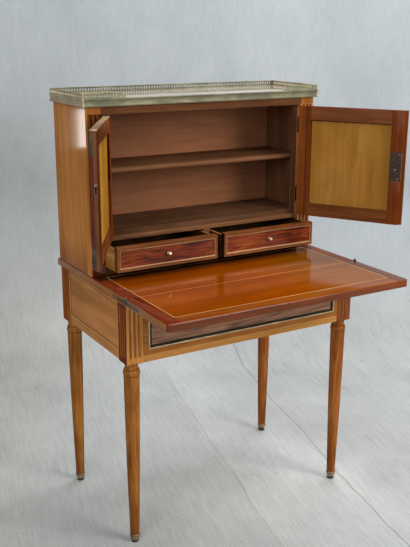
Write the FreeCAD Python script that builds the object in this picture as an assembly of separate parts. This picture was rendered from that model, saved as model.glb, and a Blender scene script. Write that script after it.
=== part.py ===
"""Bonheur du jour: a small writing desk with a fold-over flap and a cabinet with two doors.

Millimetres.  The front faces -Y, +X is to the right, +Z is up, and the floor is z = 0.
The pieces are drawn about the middle of the four legs and moved by FRAME_Y at the end, so that
the origin is on the floor under the middle of the desk as it stands with its flap open.
Every piece is a solid of its own, so the desk is put together as a cabinetmaker would do it.
"""
import os

import FreeCAD
import Part

V = FreeCAD.Vector

# ---------------------------------------------------------------- table: driving sizes
TABLE_W = 760.0           # over the two leg posts
TABLE_D = 450.0           # over the two leg posts, front to back
TOP_Z = 740.0             # writing height
TOP_T = 20.0              # thickness of the top and of the flap
APRON_Z = 551.0           # underside of the apron
POST = 50.0               # square head of each leg
SIDE_OVERHANG = 3.0       # the top past the posts, left and right
BACK_OVERHANG = 18.0      # the top past the rear posts
SEAM_Y = -232.0           # line where the flap is hinged
SEAM_GAP = 0.4            # between the flap and the fixed top
FLAP_D = 230.0            # the flap, front to back
FLAP_CORNER_R = 12.0      # front corners of the flap in plan
EDGE_R = 3.0              # softened upper arris of the top
FRAME_Y = 110.0           # from the middle of the legs to the middle of the open desk

# ---------------------------------------------------------------- cabinet: driving sizes
CAB_FRONT = 0.0           # front face of the pilasters
CAB_BACK = 232.0
CAB_TOP = 1210.0          # underside of the crowning board
CROWN_T = 22.0            # crowning board and its brass band
SIDE_T = 24.0             # cabinet sides
PILASTER_W = 46.0
PILASTER_T = 20.0
PLINTH_H = 24.0           # base rail under the small drawers, higher than the folded flap
DRAWER_BAY = 72.0         # height of the small drawers' opening
RAIL_T = 12.0             # rail over the small drawers, and the cabinet floor
SHELF_Z = 1034.0          # top of the shelf
SHELF_T = 15.0
SHELF_FRONT = 38.0
TOP_RAIL_H = 22.5
BACK_Y = 214.0            # front face of the back panel
BACK_T = 10.0
STOP_T = 14.0             # strip behind each pilaster that the door closes on

# ---------------------------------------------------------------- doors
DOOR_T = 18.0
DOOR_GAP = 1.0            # between a door and its pilaster
DOOR_BOTTOM = 849.0
DOOR_TOP = 1186.0
STILE_W = 40.0
MEETING_X = 43.5          # inner edge of the meeting stiles, from the middle of the desk
LAP = 8.0                 # the rebated meeting stiles overlap by this much
LEFT_OPEN = 120.0         # degrees open at rest
RIGHT_OPEN = 122.0
PIN_PROUD = 4.0           # hinge pin in front of the pilaster face
PIN_R = 1.5
PIN_FIT = 0.05
KNUCKLE_R = 4.0
HINGE_H = 50.0
HINGE_LEAF_T = 1.2
HINGE_Z = (909.0, 1126.0)
LOCK_Z0 = 981.0           # plate of the door lock
LOCK_Z1 = 1065.0
LOCK_CASE_X = 37.4        # its case stops short of the groove for the panel
BOLT_Z0 = 1040.0
BOLT_Z1 = 1054.0
KEY_Z = 1014.0
KEY_X = 26.5

# ---------------------------------------------------------------- drawers
DIVIDER_W = 22.0
SMALL_OUT = 80.0          # the small drawers stand this far out at rest
SMALL_LEN = 203.0
SMALL_FRONT_T = 18.0
SMALL_SIDE_T = 8.0
FIELD_SUNK = 2.5          # the figured field of a small drawer lies behind its border
FILLET_W = 2.2            # brass fillet round that field
APRON_RAIL_H = 19.5       # rail below the long drawer
UPPER_RAIL_H = 12.5       # rail above it
UPPER_RAIL_D = 12.0
LONG_FRONT_T = 20.0
LONG_LEN = 385.0
LONG_SIDE_T = 12.0
LONG_FIELD_SUNK = 2.0
LONG_MOULDING_W = 4.0

# ---------------------------------------------------------------- gallery
GALLERY_H = 15.0
GALLERY_T = 1.6
SLOT_PITCH = 8.7
SLOT_W = 4.6
RETURN_L = 105.0          # front returns, up to their scrolls

HALF_W = TABLE_W / 2
HALF_D = TABLE_D / 2
TOP_HALF_W = HALF_W + SIDE_OVERHANG
BAY_X = HALF_W - PILASTER_W          # inner edge of a pilaster
SIDE_IN = HALF_W - SIDE_T            # inner face of a cabinet side
POST_IN = HALF_W - POST
POST_MID_X = HALF_W - POST / 2
POST_MID_Y = HALF_D - POST / 2
BAY_Z0 = TOP_Z + PLINTH_H            # the small drawers run on this level
BAY_Z1 = BAY_Z0 + DRAWER_BAY
FLOOR_Z0 = BAY_Z1 + RAIL_T
FLOOR_Z1 = FLOOR_Z0 + RAIL_T
DRAWER_Z0 = APRON_Z + APRON_RAIL_H   # the long drawer runs on this level
DRAWER_Z1 = TOP_Z - TOP_T - UPPER_RAIL_H
BOARD_Z0 = TOP_Z - TOP_T


# ================================================================ small helpers
def box(x0, x1, y0, y1, z0, z1):
    lo = V(min(x0, x1), min(y0, y1), min(z0, z1))
    return Part.makeBox(abs(x1 - x0), abs(y1 - y0), abs(z1 - z0), lo)


def cyl_x(r, x0, x1, y, z):
    return Part.makeCylinder(r, abs(x1 - x0), V(min(x0, x1), y, z), V(1, 0, 0))


def cyl_y(r, y0, y1, x, z):
    return Part.makeCylinder(r, abs(y1 - y0), V(x, min(y0, y1), z), V(0, 1, 0))


def cyl_z(r, z0, z1, x, y):
    return Part.makeCylinder(r, abs(z1 - z0), V(x, y, min(z0, z1)), V(0, 0, 1))


def mirrored(shape):
    """The same piece on the other side of the desk."""
    return shape.mirror(V(0, 0, 0), V(1, 0, 0))


def group(*shapes):
    return Part.makeCompound(list(shapes))


def prism_y(points, y0, y1):
    """Extrude a closed outline of (x, z) points from y0 to y1."""
    wire = Part.makePolygon([V(x, y0, z) for x, z in points + points[:1]])
    return Part.Face(wire).extrude(V(0, y1 - y0, 0))


def prism_x(points, x0, x1):
    """Extrude a closed outline of (y, z) points from x0 to x1."""
    wire = Part.makePolygon([V(x0, y, z) for y, z in points + points[:1]])
    return Part.Face(wire).extrude(V(x1 - x0, 0, 0))


def revolved(profile, x, y):
    """Turn a closed outline of (radius, height) points about a vertical axis."""
    wire = Part.makePolygon([V(r, 0, z) for r, z in profile + profile[:1]])
    solid = Part.Face(wire).revolve(V(0, 0, 0), V(0, 0, 1), 360)
    solid.translate(V(x, y, 0))
    return solid


def mitred_frame(x0, x1, z0, z1, width, y0, y1):
    """Four strips with mitred corners round a rectangle; the strips lie inside it."""
    w = width
    bottom = prism_y([(x0, z0), (x1, z0), (x1 - w, z0 + w), (x0 + w, z0 + w)], y0, y1)
    top = prism_y([(x0, z1), (x0 + w, z1 - w), (x1 - w, z1 - w), (x1, z1)], y0, y1)
    left = prism_y([(x0, z0), (x0 + w, z0 + w), (x0 + w, z1 - w), (x0, z1)], y0, y1)
    right = prism_y([(x1, z0), (x1, z1), (x1 - w, z1 - w), (x1 - w, z0 + w)], y0, y1)
    return [bottom, top, left, right]


def flute_y(x, z0, z1, r, depth, face_y):
    """A stopped flute in a face that looks to -Y: a gouge cut that rises to a point at its ends."""
    tip = r - depth
    axis_y = face_y - tip
    body = cyl_z(r, z0 + r, z1 - r, x, axis_y)
    low = Part.makeCone(tip, r, r, V(x, axis_y, z0))
    high = Part.makeCone(r, tip, r, V(x, axis_y, z1 - r))
    return [body, low, high]


def turned_about(shape, angle, x, y):
    out = shape.copy()
    out.rotate(V(x, y, 0), V(0, 0, 1), angle)
    return out


# ================================================================ legs
def leg_profile():
    """Half section of the turned leg, as (radius, height) points from its head down."""
    z = APRON_Z
    neck = [(0, z + 2), (20.0, z + 2), (20.0, z - 4), (18.1, z - 9), (18.1, z - 19)]
    fillet = [(21.0, z - 19), (21.0, z - 22)]
    collar = [(23.0, z - 25), (23.6, z - 30), (23.0, z - 35), (21.0, z - 38)]
    taper = [(22.0, z - 38), (20.1, 345.0), (13.1, 26.0)]
    foot = [(9.4, 2.2), (0, 2.2)]
    return neck + fillet + collar + taper + foot


def post_flutes(x, y, on_side, on_front):
    """Three stopped flutes on each show face of a post."""
    z0 = APRON_Z + 17
    z1 = BOARD_Z0 - 10
    cuts = []
    for k in (-1, 0, 1):
        if on_front:
            cuts += flute_y(x + 13 * k, z0, z1, 3.8, 2.8, y - POST / 2)
        if on_side:
            side = flute_y(13 * k, z0, z1, 3.8, 2.8, -POST / 2)
            for piece in side:
                piece = turned_about(piece, -90, 0, 0)
                piece.translate(V(x, y, 0))
                cuts.append(piece)
    return cuts


def leg_left(front):
    """A left leg; the right ones are its mirror image."""
    x = -POST_MID_X
    y = -POST_MID_Y if front else POST_MID_Y
    turned = revolved(leg_profile(), x, y)
    post = box(x - POST / 2, x + POST / 2, y - POST / 2, y + POST / 2, APRON_Z, BOARD_Z0)
    leg = post.fuse(turned).removeSplitter()
    cuts = post_flutes(x, y, True, front)
    cuts.append(side_apron_left())
    if front:
        cuts.append(front_lower_rail())
        cuts.append(front_upper_rail())
    else:
        cuts.append(back_apron())
    return leg.cut(cuts)


def sabot(x, y):
    """Brass shoe: a cup with a ring round its rim, closed under the foot."""
    outside = [(0, 0), (10.4, 0), (13.7, 19.0)]
    ring = [(15.0, 20.5), (15.0, 23.5), (13.7, 25.0)]
    inside = [(13.02, 25.0), (9.5, 2.15), (0, 2.15)]
    return revolved(outside + ring + inside, x, y)


def sabots():
    shoes = []
    for sx in (-1, 1):
        for sy in (-1, 1):
            shoes.append(sabot(sx * POST_MID_X, sy * POST_MID_Y))
    return group(*shoes)


# ================================================================ apron
def side_apron_left():
    """Side board with a tenon into each leg post."""
    y = HALF_D - POST
    board = box(-HALF_W + 4, -SIDE_IN, -y, y, APRON_Z, BOARD_Z0)
    tenons = box(-HALF_W + 9, -HALF_W + 19, -y - 22, y + 22, APRON_Z + 14, BOARD_Z0 - 14)
    return board.fuse(tenons).removeSplitter()


def back_apron():
    y1 = HALF_D - 2
    board = box(-POST_IN, POST_IN, y1 - 20, y1, APRON_Z, BOARD_Z0)
    tenons = box(-POST_IN - 22, POST_IN + 22, y1 - 15, y1 - 5, APRON_Z + 14, BOARD_Z0 - 14)
    return board.fuse(tenons).removeSplitter()


def front_lower_rail():
    """Rail under the long drawer, with a tenon into each front post."""
    y0 = -HALF_D + 2
    rail = box(-POST_IN, POST_IN, y0, y0 + 48, APRON_Z, DRAWER_Z0)
    tenons = box(-POST_IN - 18, POST_IN + 18, y0 + 10, y0 + 38, APRON_Z + 5, APRON_Z + 15)
    return rail.fuse(tenons).removeSplitter()


def front_upper_rail():
    """Shallow rail over the long drawer; the lock bolt rises behind it and catches on its back."""
    y0 = -HALF_D + 2
    rail = box(-POST_IN, POST_IN, y0, y0 + UPPER_RAIL_D, DRAWER_Z1, BOARD_Z0)
    tenons = box(-POST_IN - 18, POST_IN + 18, y0 + 3, y0 + 9, DRAWER_Z1 + 3, BOARD_Z0 - 3)
    return rail.fuse(tenons).removeSplitter()


def apron_mouldings():
    """Thin moulding round the field of each side apron: four mitred strips a side."""
    strips = mitred_frame(-170, 170, APRON_Z + 26, BOARD_Z0 - 13, 4.0, 0, 2.6)
    left = []
    for strip in strips:
        strip = turned_about(strip, -90, 0, 0)
        strip.translate(V(-HALF_W + 4 - 2.6, 0, 0))
        left.append(strip)
    right = [mirrored(s) for s in left]
    return group(*(left + right))


def drawer_runners():
    """Bearers that the long drawer slides on, side guides, and kickers over it."""
    y0 = -HALF_D + 50
    y1 = HALF_D - 22
    pieces = []
    for side in (-1, 1):
        bearer = box(side * 290, side * POST_IN, y0, y1, APRON_Z, DRAWER_Z0)
        guide = box(side * POST_IN, side * SIDE_IN, -HALF_D + POST, HALF_D - POST, APRON_Z, DRAWER_Z0 + 20)
        kicker = box(side * 305, side * POST_IN, -HALF_D + 2 + UPPER_RAIL_D, y1, DRAWER_Z1, BOARD_Z0)
        pieces += [bearer, guide, kicker]
    return group(*pieces)


# ================================================================ top and flap
def hinge_axis():
    """The flap turns about a line just above the seam, so that it folds flat on the top."""
    return SEAM_Y, TOP_Z + 0.5


def flap_hinge_leaf_left(fixed):
    """One leaf of a card-table hinge, let into the left edge, with its half of the eye."""
    y, z = hinge_axis()
    x0 = -TOP_HALF_W
    x1 = x0 + 2.7
    mid = (x0 + x1) / 2
    length = 78.0
    z0 = BOARD_Z0 + 4
    z1 = TOP_Z - 5
    if fixed:
        plate = box(x0, x1, y + 0.2, y + length, z0, z1)
        neck = box(x0, mid - 0.15, y + 0.2, y + 6, z0, z)
        eye = cyl_x(5.2, x0, mid - 0.15, y, z)
        pin = cyl_x(PIN_R, x0, x1, y, z)
        clear = cyl_x(5.6, mid - 0.15, x1 + 1, y, z)
        return plate.fuse([neck, eye]).cut(clear).fuse(pin).removeSplitter()
    plate = box(x0, x1, y - length, y - 0.2, z0, z1)
    neck = box(mid + 0.15, x1, y - 6, y - 0.2, z0, z)
    eye = cyl_x(5.2, mid + 0.15, x1, y, z)
    clear = cyl_x(5.6, x0 - 1, mid + 0.15, y, z)
    leaf = plate.fuse([neck, eye]).cut(clear)
    return leaf.cut(cyl_x(PIN_R + PIN_FIT, x0 - 1, x1 + 1, y, z)).removeSplitter()


def hinge_recess_left(fixed):
    """What is cut from a board edge to let the leaf and the eyes in."""
    y, z = hinge_axis()
    x0 = -TOP_HALF_W
    way = 1 if fixed else -1
    eyes = cyl_x(5.6, x0 - 1, x0 + 3.0, y, z)
    neck = box(x0 - 1, x0 + 2.7, y, y + way * 6.0, BOARD_Z0 + 4, TOP_Z + 1)
    plate = box(x0 - 1, x0 + 2.7, y, y + way * 78.0, BOARD_Z0 + 4, TOP_Z - 5)
    return [eyes, neck, plate]


def line_grooves(fixed):
    """Groove for the stringing: a square frame that runs on across the seam."""
    x0 = TOP_HALF_W - 42.5
    x1 = TOP_HALF_W - 40.0
    z0 = TOP_Z - 1.0
    if fixed:
        left = box(-x1, -x0, SEAM_Y + SEAM_GAP / 2, -22.0, z0, TOP_Z)
        right = box(x0, x1, SEAM_Y + SEAM_GAP / 2, -22.0, z0, TOP_Z)
        rear = box(-x0, x0, -24.5, -22.0, z0, TOP_Z)
        return [left, right, rear]
    y0 = SEAM_Y - SEAM_GAP / 2 - FLAP_D + 41.0
    left = box(-x1, -x0, y0, SEAM_Y - SEAM_GAP / 2, z0, TOP_Z)
    right = box(x0, x1, y0, SEAM_Y - SEAM_GAP / 2, z0, TOP_Z)
    front = box(-x0, x0, y0, y0 + 2.5, z0, TOP_Z)
    return [left, right, front]


def arris(edges, z):
    """The outer upper edges of a board, to be softened."""
    found = []
    for edge in edges:
        b = edge.BoundBox
        flat = abs(b.ZMin - z) < 1e-6 and abs(b.ZMax - z) < 1e-6
        at_seam = abs(b.YMin - b.YMax) < 1e-6 and abs(abs(b.YMin - SEAM_Y) - SEAM_GAP / 2) < 1e-6
        if flat and not at_seam:
            found.append(edge)
    return found


def table_top():
    """Fixed part of the writing surface, which also carries the cabinet."""
    y1 = HALF_D + BACK_OVERHANG
    board = box(-TOP_HALF_W, TOP_HALF_W, SEAM_Y + SEAM_GAP / 2, y1, BOARD_Z0, TOP_Z)
    board = board.makeFillet(EDGE_R, arris(board.Edges, TOP_Z))
    cuts = hinge_recess_left(True) + line_grooves(True)
    cuts += [mirrored(c) for c in hinge_recess_left(True)]
    return board.cut(cuts)


def flap_board():
    y1 = SEAM_Y - SEAM_GAP / 2
    y0 = y1 - FLAP_D
    board = box(-TOP_HALF_W, TOP_HALF_W, y0, y1, BOARD_Z0, TOP_Z)
    corners = []
    for edge in board.Edges:
        b = edge.BoundBox
        if b.ZLength > TOP_T - 1 and abs(b.YMin - y0) < 1e-6:
            corners.append(edge)
    board = board.makeFillet(FLAP_CORNER_R, corners)
    board = board.makeFillet(EDGE_R, arris(board.Edges, TOP_Z))
    cuts = hinge_recess_left(False) + line_grooves(False)
    cuts += [mirrored(c) for c in hinge_recess_left(False)]
    return board.cut(cuts)


# ================================================================ cabinet carcase
def pilaster_left():
    """Fluted front post of the cabinet, with plain blocks at its head and foot."""
    post = box(-HALF_W, -BAY_X, CAB_FRONT, CAB_FRONT + PILASTER_T, TOP_Z, CAB_TOP)
    mid = -HALF_W + PILASTER_W / 2
    cuts = []
    for k in (-1, 0, 1):
        cuts += flute_y(mid + 13 * k, TOP_Z + 27, CAB_TOP - 20, 4.2, 3.0, CAB_FRONT)
    cuts.append(box(-HALF_W + 8, -HALF_W + 16, PILASTER_T - 8, PILASTER_T + 1, TOP_Z - 1, CAB_TOP + 1))
    cuts.append(cabinet_top_rail())
    cuts.append(small_drawer_rail())
    cuts.append(base_rail())
    cuts += door_hinge_recess_left()
    return post.cut(cuts)


def cabinet_side_left():
    """Side board: tongued into the pilaster, rebated for the back, housed for the boards."""
    side = box(-HALF_W, -SIDE_IN, PILASTER_T, CAB_BACK, TOP_Z, CAB_TOP)
    tongue = box(-HALF_W + 8, -HALF_W + 16, PILASTER_T - 7.8, PILASTER_T + 1, TOP_Z, CAB_TOP)
    side = side.fuse(tongue).removeSplitter()
    cuts = [
        box(-SIDE_IN - 6, -SIDE_IN, BACK_Y, CAB_BACK, TOP_Z, CAB_TOP),
        cabinet_floor(),
        base_board(),
    ]
    return side.cut(cuts)


def base_rail():
    """Rail between the pilasters under the small drawers."""
    rail = box(-BAY_X, BAY_X, CAB_FRONT, 24, TOP_Z, BAY_Z0)
    tenons = box(-BAY_X - 12, BAY_X + 12, 6, 14, TOP_Z + 5, BAY_Z0 - 5)
    return rail.fuse(tenons).removeSplitter()


def base_board():
    """Board that the small drawers run on."""
    return box(-SIDE_IN - 4, SIDE_IN + 4, 24, BACK_Y, BAY_Z0 - 12, BAY_Z0)


def small_drawer_rail():
    """Rail over the small drawers; its upper arris is rounded."""
    section = box(-BAY_X, BAY_X, CAB_FRONT, 36, BAY_Z1, FLOOR_Z0)
    front = []
    for edge in section.Edges:
        b = edge.BoundBox
        if abs(b.YMax - CAB_FRONT) < 1e-6 and b.XLength > 10 and abs(b.ZMin - FLOOR_Z0) < 1e-6:
            front.append(edge)
    section = section.makeFillet(3.0, front)
    tenons = box(-BAY_X - 12, BAY_X + 12, 5, 15, BAY_Z1 + 3, FLOOR_Z0 - 3)
    return section.fuse(tenons).removeSplitter()


def cabinet_floor():
    """Floor of the cabinet; its front edge stands behind the closed doors."""
    front = box(-BAY_X, BAY_X, 19, PILASTER_T, FLOOR_Z0, FLOOR_Z1)
    board = box(-SIDE_IN - 4, SIDE_IN + 4, PILASTER_T, BACK_Y, FLOOR_Z0, FLOOR_Z1)
    return board.fuse(front).removeSplitter()


def drawer_divider():
    """Upright board between the two small drawers."""
    front = box(-DIVIDER_W / 2, DIVIDER_W / 2, CAB_FRONT, BACK_Y, BAY_Z0, BAY_Z1)
    rear = box(-DIVIDER_W / 2, DIVIDER_W / 2, 36, BACK_Y, BAY_Z1, FLOOR_Z0)
    return front.fuse(rear).removeSplitter()


def cabinet_top_rail():
    rail = box(-BAY_X, BAY_X, 2, 22, CAB_TOP - TOP_RAIL_H, CAB_TOP)
    tenons = box(-BAY_X - 12, BAY_X + 12, 7, 15, CAB_TOP - 18, CAB_TOP - 4)
    return rail.fuse(tenons).removeSplitter()


def door_stops():
    """Strips behind the pilasters; the doors close on their edges."""
    z1 = CAB_TOP - TOP_RAIL_H
    y0 = DOOR_T + 0.5
    left = box(-SIDE_IN, -BAY_X + 11, y0, y0 + STOP_T, FLOOR_Z1, z1)
    left = left.cut(box(-HALF_W, -BAY_X, CAB_FRONT, PILASTER_T, TOP_Z, CAB_TOP))
    return group(left, mirrored(left))


def cabinet_back():
    return box(-SIDE_IN - 6, SIDE_IN + 6, BACK_Y, BACK_Y + BACK_T, TOP_Z, CAB_TOP)


def shelf():
    """Fixed shelf with a rounded front edge."""
    board = box(-SIDE_IN, SIDE_IN, SHELF_FRONT, BACK_Y, SHELF_Z - SHELF_T, SHELF_Z)
    nose = []
    for edge in board.Edges:
        b = edge.BoundBox
        if abs(b.YMax - SHELF_FRONT) < 1e-6 and b.XLength > 10:
            nose.append(edge)
    return board.makeFillet(SHELF_T * 0.45, nose)


def shelf_battens():
    z1 = SHELF_Z - SHELF_T
    x = -SIDE_IN
    outline = [(x, z1), (x + 12, z1), (x + 12, z1 - 5), (x + 7, z1 - 11), (x, z1 - 11)]
    left = prism_y(outline, SHELF_FRONT + 4, BACK_Y - 6)
    return group(left, mirrored(left))


def crowning_board():
    return box(-HALF_W - 6, HALF_W + 6, CAB_FRONT - 6, CAB_BACK, CAB_TOP, CAB_TOP + CROWN_T)


def band_section():
    """Section of the brass band: a hollow between two beads; (out, up) from its inner foot."""
    h = CROWN_T
    return [
        ((0, 0), (4.0, 0), None),
        ((4.0, 0), (4.0, 3.4), (5.3, 1.7)),
        ((4.0, 3.4), (4.0, h - 4.6), (2.7, h / 2)),
        ((4.0, h - 4.6), (4.0, h), (5.8, h - 2.3)),
        ((4.0, h), (0, h), None),
        ((0, h), (0, 0), None),
    ]


def band_strip(length):
    """One strip of the band along +X, with its face to -Y."""
    edges = []
    for a, b, mid in band_section():
        pa = V(0, -a[0], a[1])
        pb = V(0, -b[0], b[1])
        if mid is None:
            edges.append(Part.makeLine(pa, pb))
        else:
            edges.append(Part.Arc(pa, V(0, -mid[0], mid[1]), pb).toShape())
    face = Part.Face(Part.Wire(edges))
    return face.extrude(V(length, 0, 0))


def corner_prism(points):
    """An upright prism past the height of the band, on an outline of (x, y) points."""
    z0 = CAB_TOP - 1
    wire = Part.makePolygon([V(x, y, z0) for x, y in points + points[:1]])
    return Part.Face(wire).extrude(V(0, 0, CROWN_T + 2))


def brass_band():
    """Band round the crowning board: front and two sides, mitred at the front corners."""
    x = HALF_W + 6
    y = CAB_FRONT - 6
    run = 12.0
    in_front = corner_prism([(-x, y), (-x - run, y - run), (x + run, y - run), (x, y)])
    beside = corner_prism([(-x, y), (-x, CAB_BACK), (-x - run, CAB_BACK), (-x - run, y - run)])
    front = band_strip(2 * x + 2 * run)
    front.translate(V(-x - run, y, CAB_TOP))
    side = band_strip(CAB_BACK - y + run)
    side.rotate(V(0, 0, 0), V(0, 0, 1), -90)
    side.translate(V(-x, CAB_BACK, CAB_TOP))
    side = side.common(beside)
    return group(front.common(in_front), side, mirrored(side))


# ================================================================ gallery
def pierced_plate(length):
    """A plate along +X from the origin, with a row of upright slots and a beaded rail."""
    plate = box(0, length, -GALLERY_T / 2, GALLERY_T / 2, 0, GALLERY_H - 1.0)
    rail = box(0, length, -1.5, 1.5, GALLERY_H - 3.2, GALLERY_H)
    plate = plate.fuse(rail).removeSplitter()
    count = int((length - 8.0) / SLOT_PITCH)
    first = (length - (count - 1) * SLOT_PITCH) / 2
    slots = []
    for k in range(count):
        x = first + k * SLOT_PITCH
        slots.append(box(x - SLOT_W / 2, x + SLOT_W / 2, -2, 2, 3.4, GALLERY_H - 4.6))
    return plate.cut(slots)


def gallery():
    """Pierced gallery on the back and the two sides of the top."""
    x = HALF_W + 7.5
    z = CAB_TOP + CROWN_T
    back = pierced_plate(2 * x - 4.0)
    back.translate(V(-x + 2.0, CAB_BACK - 2.5, z))
    side = pierced_plate(CAB_BACK - 1.0 + 7.0)
    side.rotate(V(0, 0, 0), V(0, 0, 1), 90)
    side.translate(V(-x, -7.0, z))
    return group(back, side, mirrored(side))


def scroll_end():
    """End of a front return: an upper volute and a lower one, joined in an S."""
    t = GALLERY_T / 2 + 0.4
    upper = cyl_y(5.6, -t, t, 0, GALLERY_H - 5.6).cut(cyl_y(3.0, -3, 3, 0, GALLERY_H - 5.6))
    eye = cyl_y(1.7, -t, t, 1.9, GALLERY_H - 6.6)
    lower = cyl_y(4.6, -t, t, 9.6, 4.6).cut(cyl_y(2.4, -3, 3, 9.6, 4.6))
    low_eye = cyl_y(1.6, -t, t, 9.6, 3.0)
    stem = prism_y([(4.2, GALLERY_H - 10.0), (6.0, GALLERY_H - 7.8), (9.4, 7.4), (7.2, 6.0)], -t, t)
    foot = box(-6, 14.0, -t, t, 0, 1.6)
    return upper.fuse([eye, lower, low_eye, stem, foot]).removeSplitter()


def gallery_returns():
    """Short returns along the front, each ending in a scroll."""
    x = HALF_W + 7.5
    z = CAB_TOP + CROWN_T
    plate = pierced_plate(RETURN_L)
    scroll = scroll_end()
    scroll.translate(V(RETURN_L + 2.0, 0, 0))
    left = plate.fuse(scroll).removeSplitter()
    left.translate(V(-x + 2.0, -7.6, z))
    return group(left, mirrored(left))


# ================================================================ doors, drawn closed
def pin_xy():
    return BAY_X - DOOR_GAP / 2, CAB_FRONT - PIN_PROUD


def door_hinge_recess_left():
    """Room for the knuckles and for the fixed leaves in the left pilaster."""
    x, y = pin_xy()
    cuts = []
    for z in HINGE_Z:
        z0 = z - HINGE_H / 2
        z1 = z + HINGE_H / 2
        cuts.append(cyl_z(KNUCKLE_R + 0.4, z0 - 0.4, z1 + 0.4, -x, y))
        cuts.append(box(-BAY_X - HINGE_LEAF_T, -BAY_X, CAB_FRONT - 1, 16, z0, z1))
    return cuts


def knuckle_spans(z, fixed):
    """Heights of the knuckles: the fixed leaf has the two outer ones."""
    z0 = z - HINGE_H / 2
    third = HINGE_H / 3
    if fixed:
        return [(z0, z0 + third - 0.2), (z0 + 2 * third + 0.2, z0 + HINGE_H)]
    return [(z0 + third + 0.2, z0 + 2 * third - 0.2)]


def door_hinge_leaves_left(fixed):
    """Two butt hinge leaves: the fixed ones carry the pins, the door's turn on them."""
    x, y = pin_xy()
    leaves = []
    for z in HINGE_Z:
        z0 = z - HINGE_H / 2
        z1 = z + HINGE_H / 2
        if fixed:
            xa = -BAY_X - HINGE_LEAF_T
            xb = -BAY_X
        else:
            xa = -BAY_X + DOOR_GAP
            xb = -BAY_X + DOOR_GAP + HINGE_LEAF_T
        leaf = box(xa, xb, CAB_FRONT + 0.4, 16, z0, z1)
        parts = []
        for a, b in knuckle_spans(z, fixed):
            parts.append(cyl_z(KNUCKLE_R, a, b, -x, y))
            parts.append(box(xa, xb, y, CAB_FRONT + 1, a, b))
        leaf = leaf.fuse(parts)
        if fixed:
            leaf = leaf.fuse(cyl_z(PIN_R, z0, z1, -x, y))
        else:
            leaf = leaf.cut(cyl_z(PIN_R + PIN_FIT, z0 - 1, z1 + 1, -x, y))
        leaves.append(leaf.removeSplitter())
    return leaves


def panel_opening():
    """x range and z range of the sight opening of the left door's panel."""
    x0 = -BAY_X + DOOR_GAP + STILE_W
    return x0, -MEETING_X, DOOR_BOTTOM + STILE_W, DOOR_TOP - STILE_W


def door_panel_left():
    """Thin panel, held loose in the grooves of the frame."""
    x0, x1, z0, z1 = panel_opening()
    return box(x0 - 5.5, x1 + 5.5, 6.0, 12.0, z0 - 5.5, z1 + 5.5)


def door_frame_left(lapped_in_front):
    """Two stiles and two rails with tenons; the meeting stile is rebated."""
    x0, x1, z0, z1 = panel_opening()
    edge = -BAY_X + DOOR_GAP
    half = DOOR_T / 2
    hinge_stile = box(edge, x0, 0, DOOR_T, DOOR_BOTTOM, DOOR_TOP)
    if lapped_in_front:
        outer = box(x1, -0.4, 0, half - 0.2, DOOR_BOTTOM, DOOR_TOP)
        inner = box(x1, -0.4 - LAP, half - 0.2, DOOR_T, DOOR_BOTTOM, DOOR_TOP)
    else:
        outer = box(x1, -0.4, 0, half + 0.2, DOOR_BOTTOM, DOOR_TOP)
        inner = box(x1, LAP - 0.4, half + 0.2, DOOR_T, DOOR_BOTTOM, DOOR_TOP)
    meeting_stile = outer.fuse(inner).removeSplitter()
    rails = []
    for za, zb in ((DOOR_BOTTOM, z0), (z1, DOOR_TOP)):
        rail = box(x0, x1, 0, DOOR_T, za, zb)
        tenons = box(x0 - 28, x1 + 28, 6.0, 12.0, za + 7, zb - 7)
        rails.append(rail.fuse(tenons).removeSplitter())
    groove = box(x0 - 6, x1 + 6, 6.0, 12.0, z0 - 6, z1 + 6)
    x, y = pin_xy()
    rooms = [cyl_z(KNUCKLE_R + 0.4, z - HINGE_H / 2 - 0.4, z + HINGE_H / 2 + 0.4, -x, y) for z in HINGE_Z]
    leaf_rooms = [box(edge, edge + HINGE_LEAF_T, -1, 16, z - HINGE_H / 2, z + HINGE_H / 2) for z in HINGE_Z]
    hinge_stile = hinge_stile.cut(rails + [groove] + rooms + leaf_rooms)
    meeting_stile = meeting_stile.cut(rails + [groove])
    rails = [rail.cut(groove) for rail in rails]
    return [hinge_stile, meeting_stile] + rails


def door_moulding_left():
    """Brass moulding in the outer corner between the frame and the panel."""
    x0, x1, z0, z1 = panel_opening()
    return group(*mitred_frame(x0, x1, z0, z1, 5.0, -1.0, 6.0))


def keyhole(x, z, y0, y1):
    """Round hole with a slot below it."""
    return cyl_y(2.6, y0, y1, x, z).fuse(box(x - 1.3, x + 1.3, y0, y1, z - 7.5, z))


def right_door_lock():
    """Iron lock let into the inner face of the right door's meeting stile."""
    x0 = LAP + 0.4
    case = box(x0, LOCK_CASE_X, 8.8, DOOR_T, LOCK_Z0, LOCK_Z1)
    case = case.fuse(box(x0, MEETING_X - 1, DOOR_T - 1.5, DOOR_T, LOCK_Z0, LOCK_Z1)).removeSplitter()
    channel = box(x0 - 1, x0 + 26, 11.2, 15.8, BOLT_Z0 - 0.3, BOLT_Z1 + 0.3)
    key_pin = cyl_y(1.5, 9.5, DOOR_T + 1.2, KEY_X, KEY_Z)
    key_room = cyl_y(8.5, 8.8, 10.8, KEY_X, KEY_Z - 1.0)
    return case.cut([channel, key_room]).fuse(key_pin).removeSplitter()


def right_lock_bolt():
    x0 = LAP + 0.6
    return box(x0, x0 + 17, 11.5, 15.5, BOLT_Z0, BOLT_Z1)


def left_door_strike():
    """Plate on the edge of the left door, with the hole that takes the bolt."""
    plate = box(LAP - 1.4, LAP - 0.4, 9.7, 17.7, 1032, 1063)
    return plate.cut(box(0, 20, 11.0, 16.0, BOLT_Z0 - 1, BOLT_Z1 + 1))


def left_bolt_pocket():
    return box(-2.5, LAP, 11.0, 16.0, BOLT_Z0 - 1, BOLT_Z1 + 1)


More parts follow.
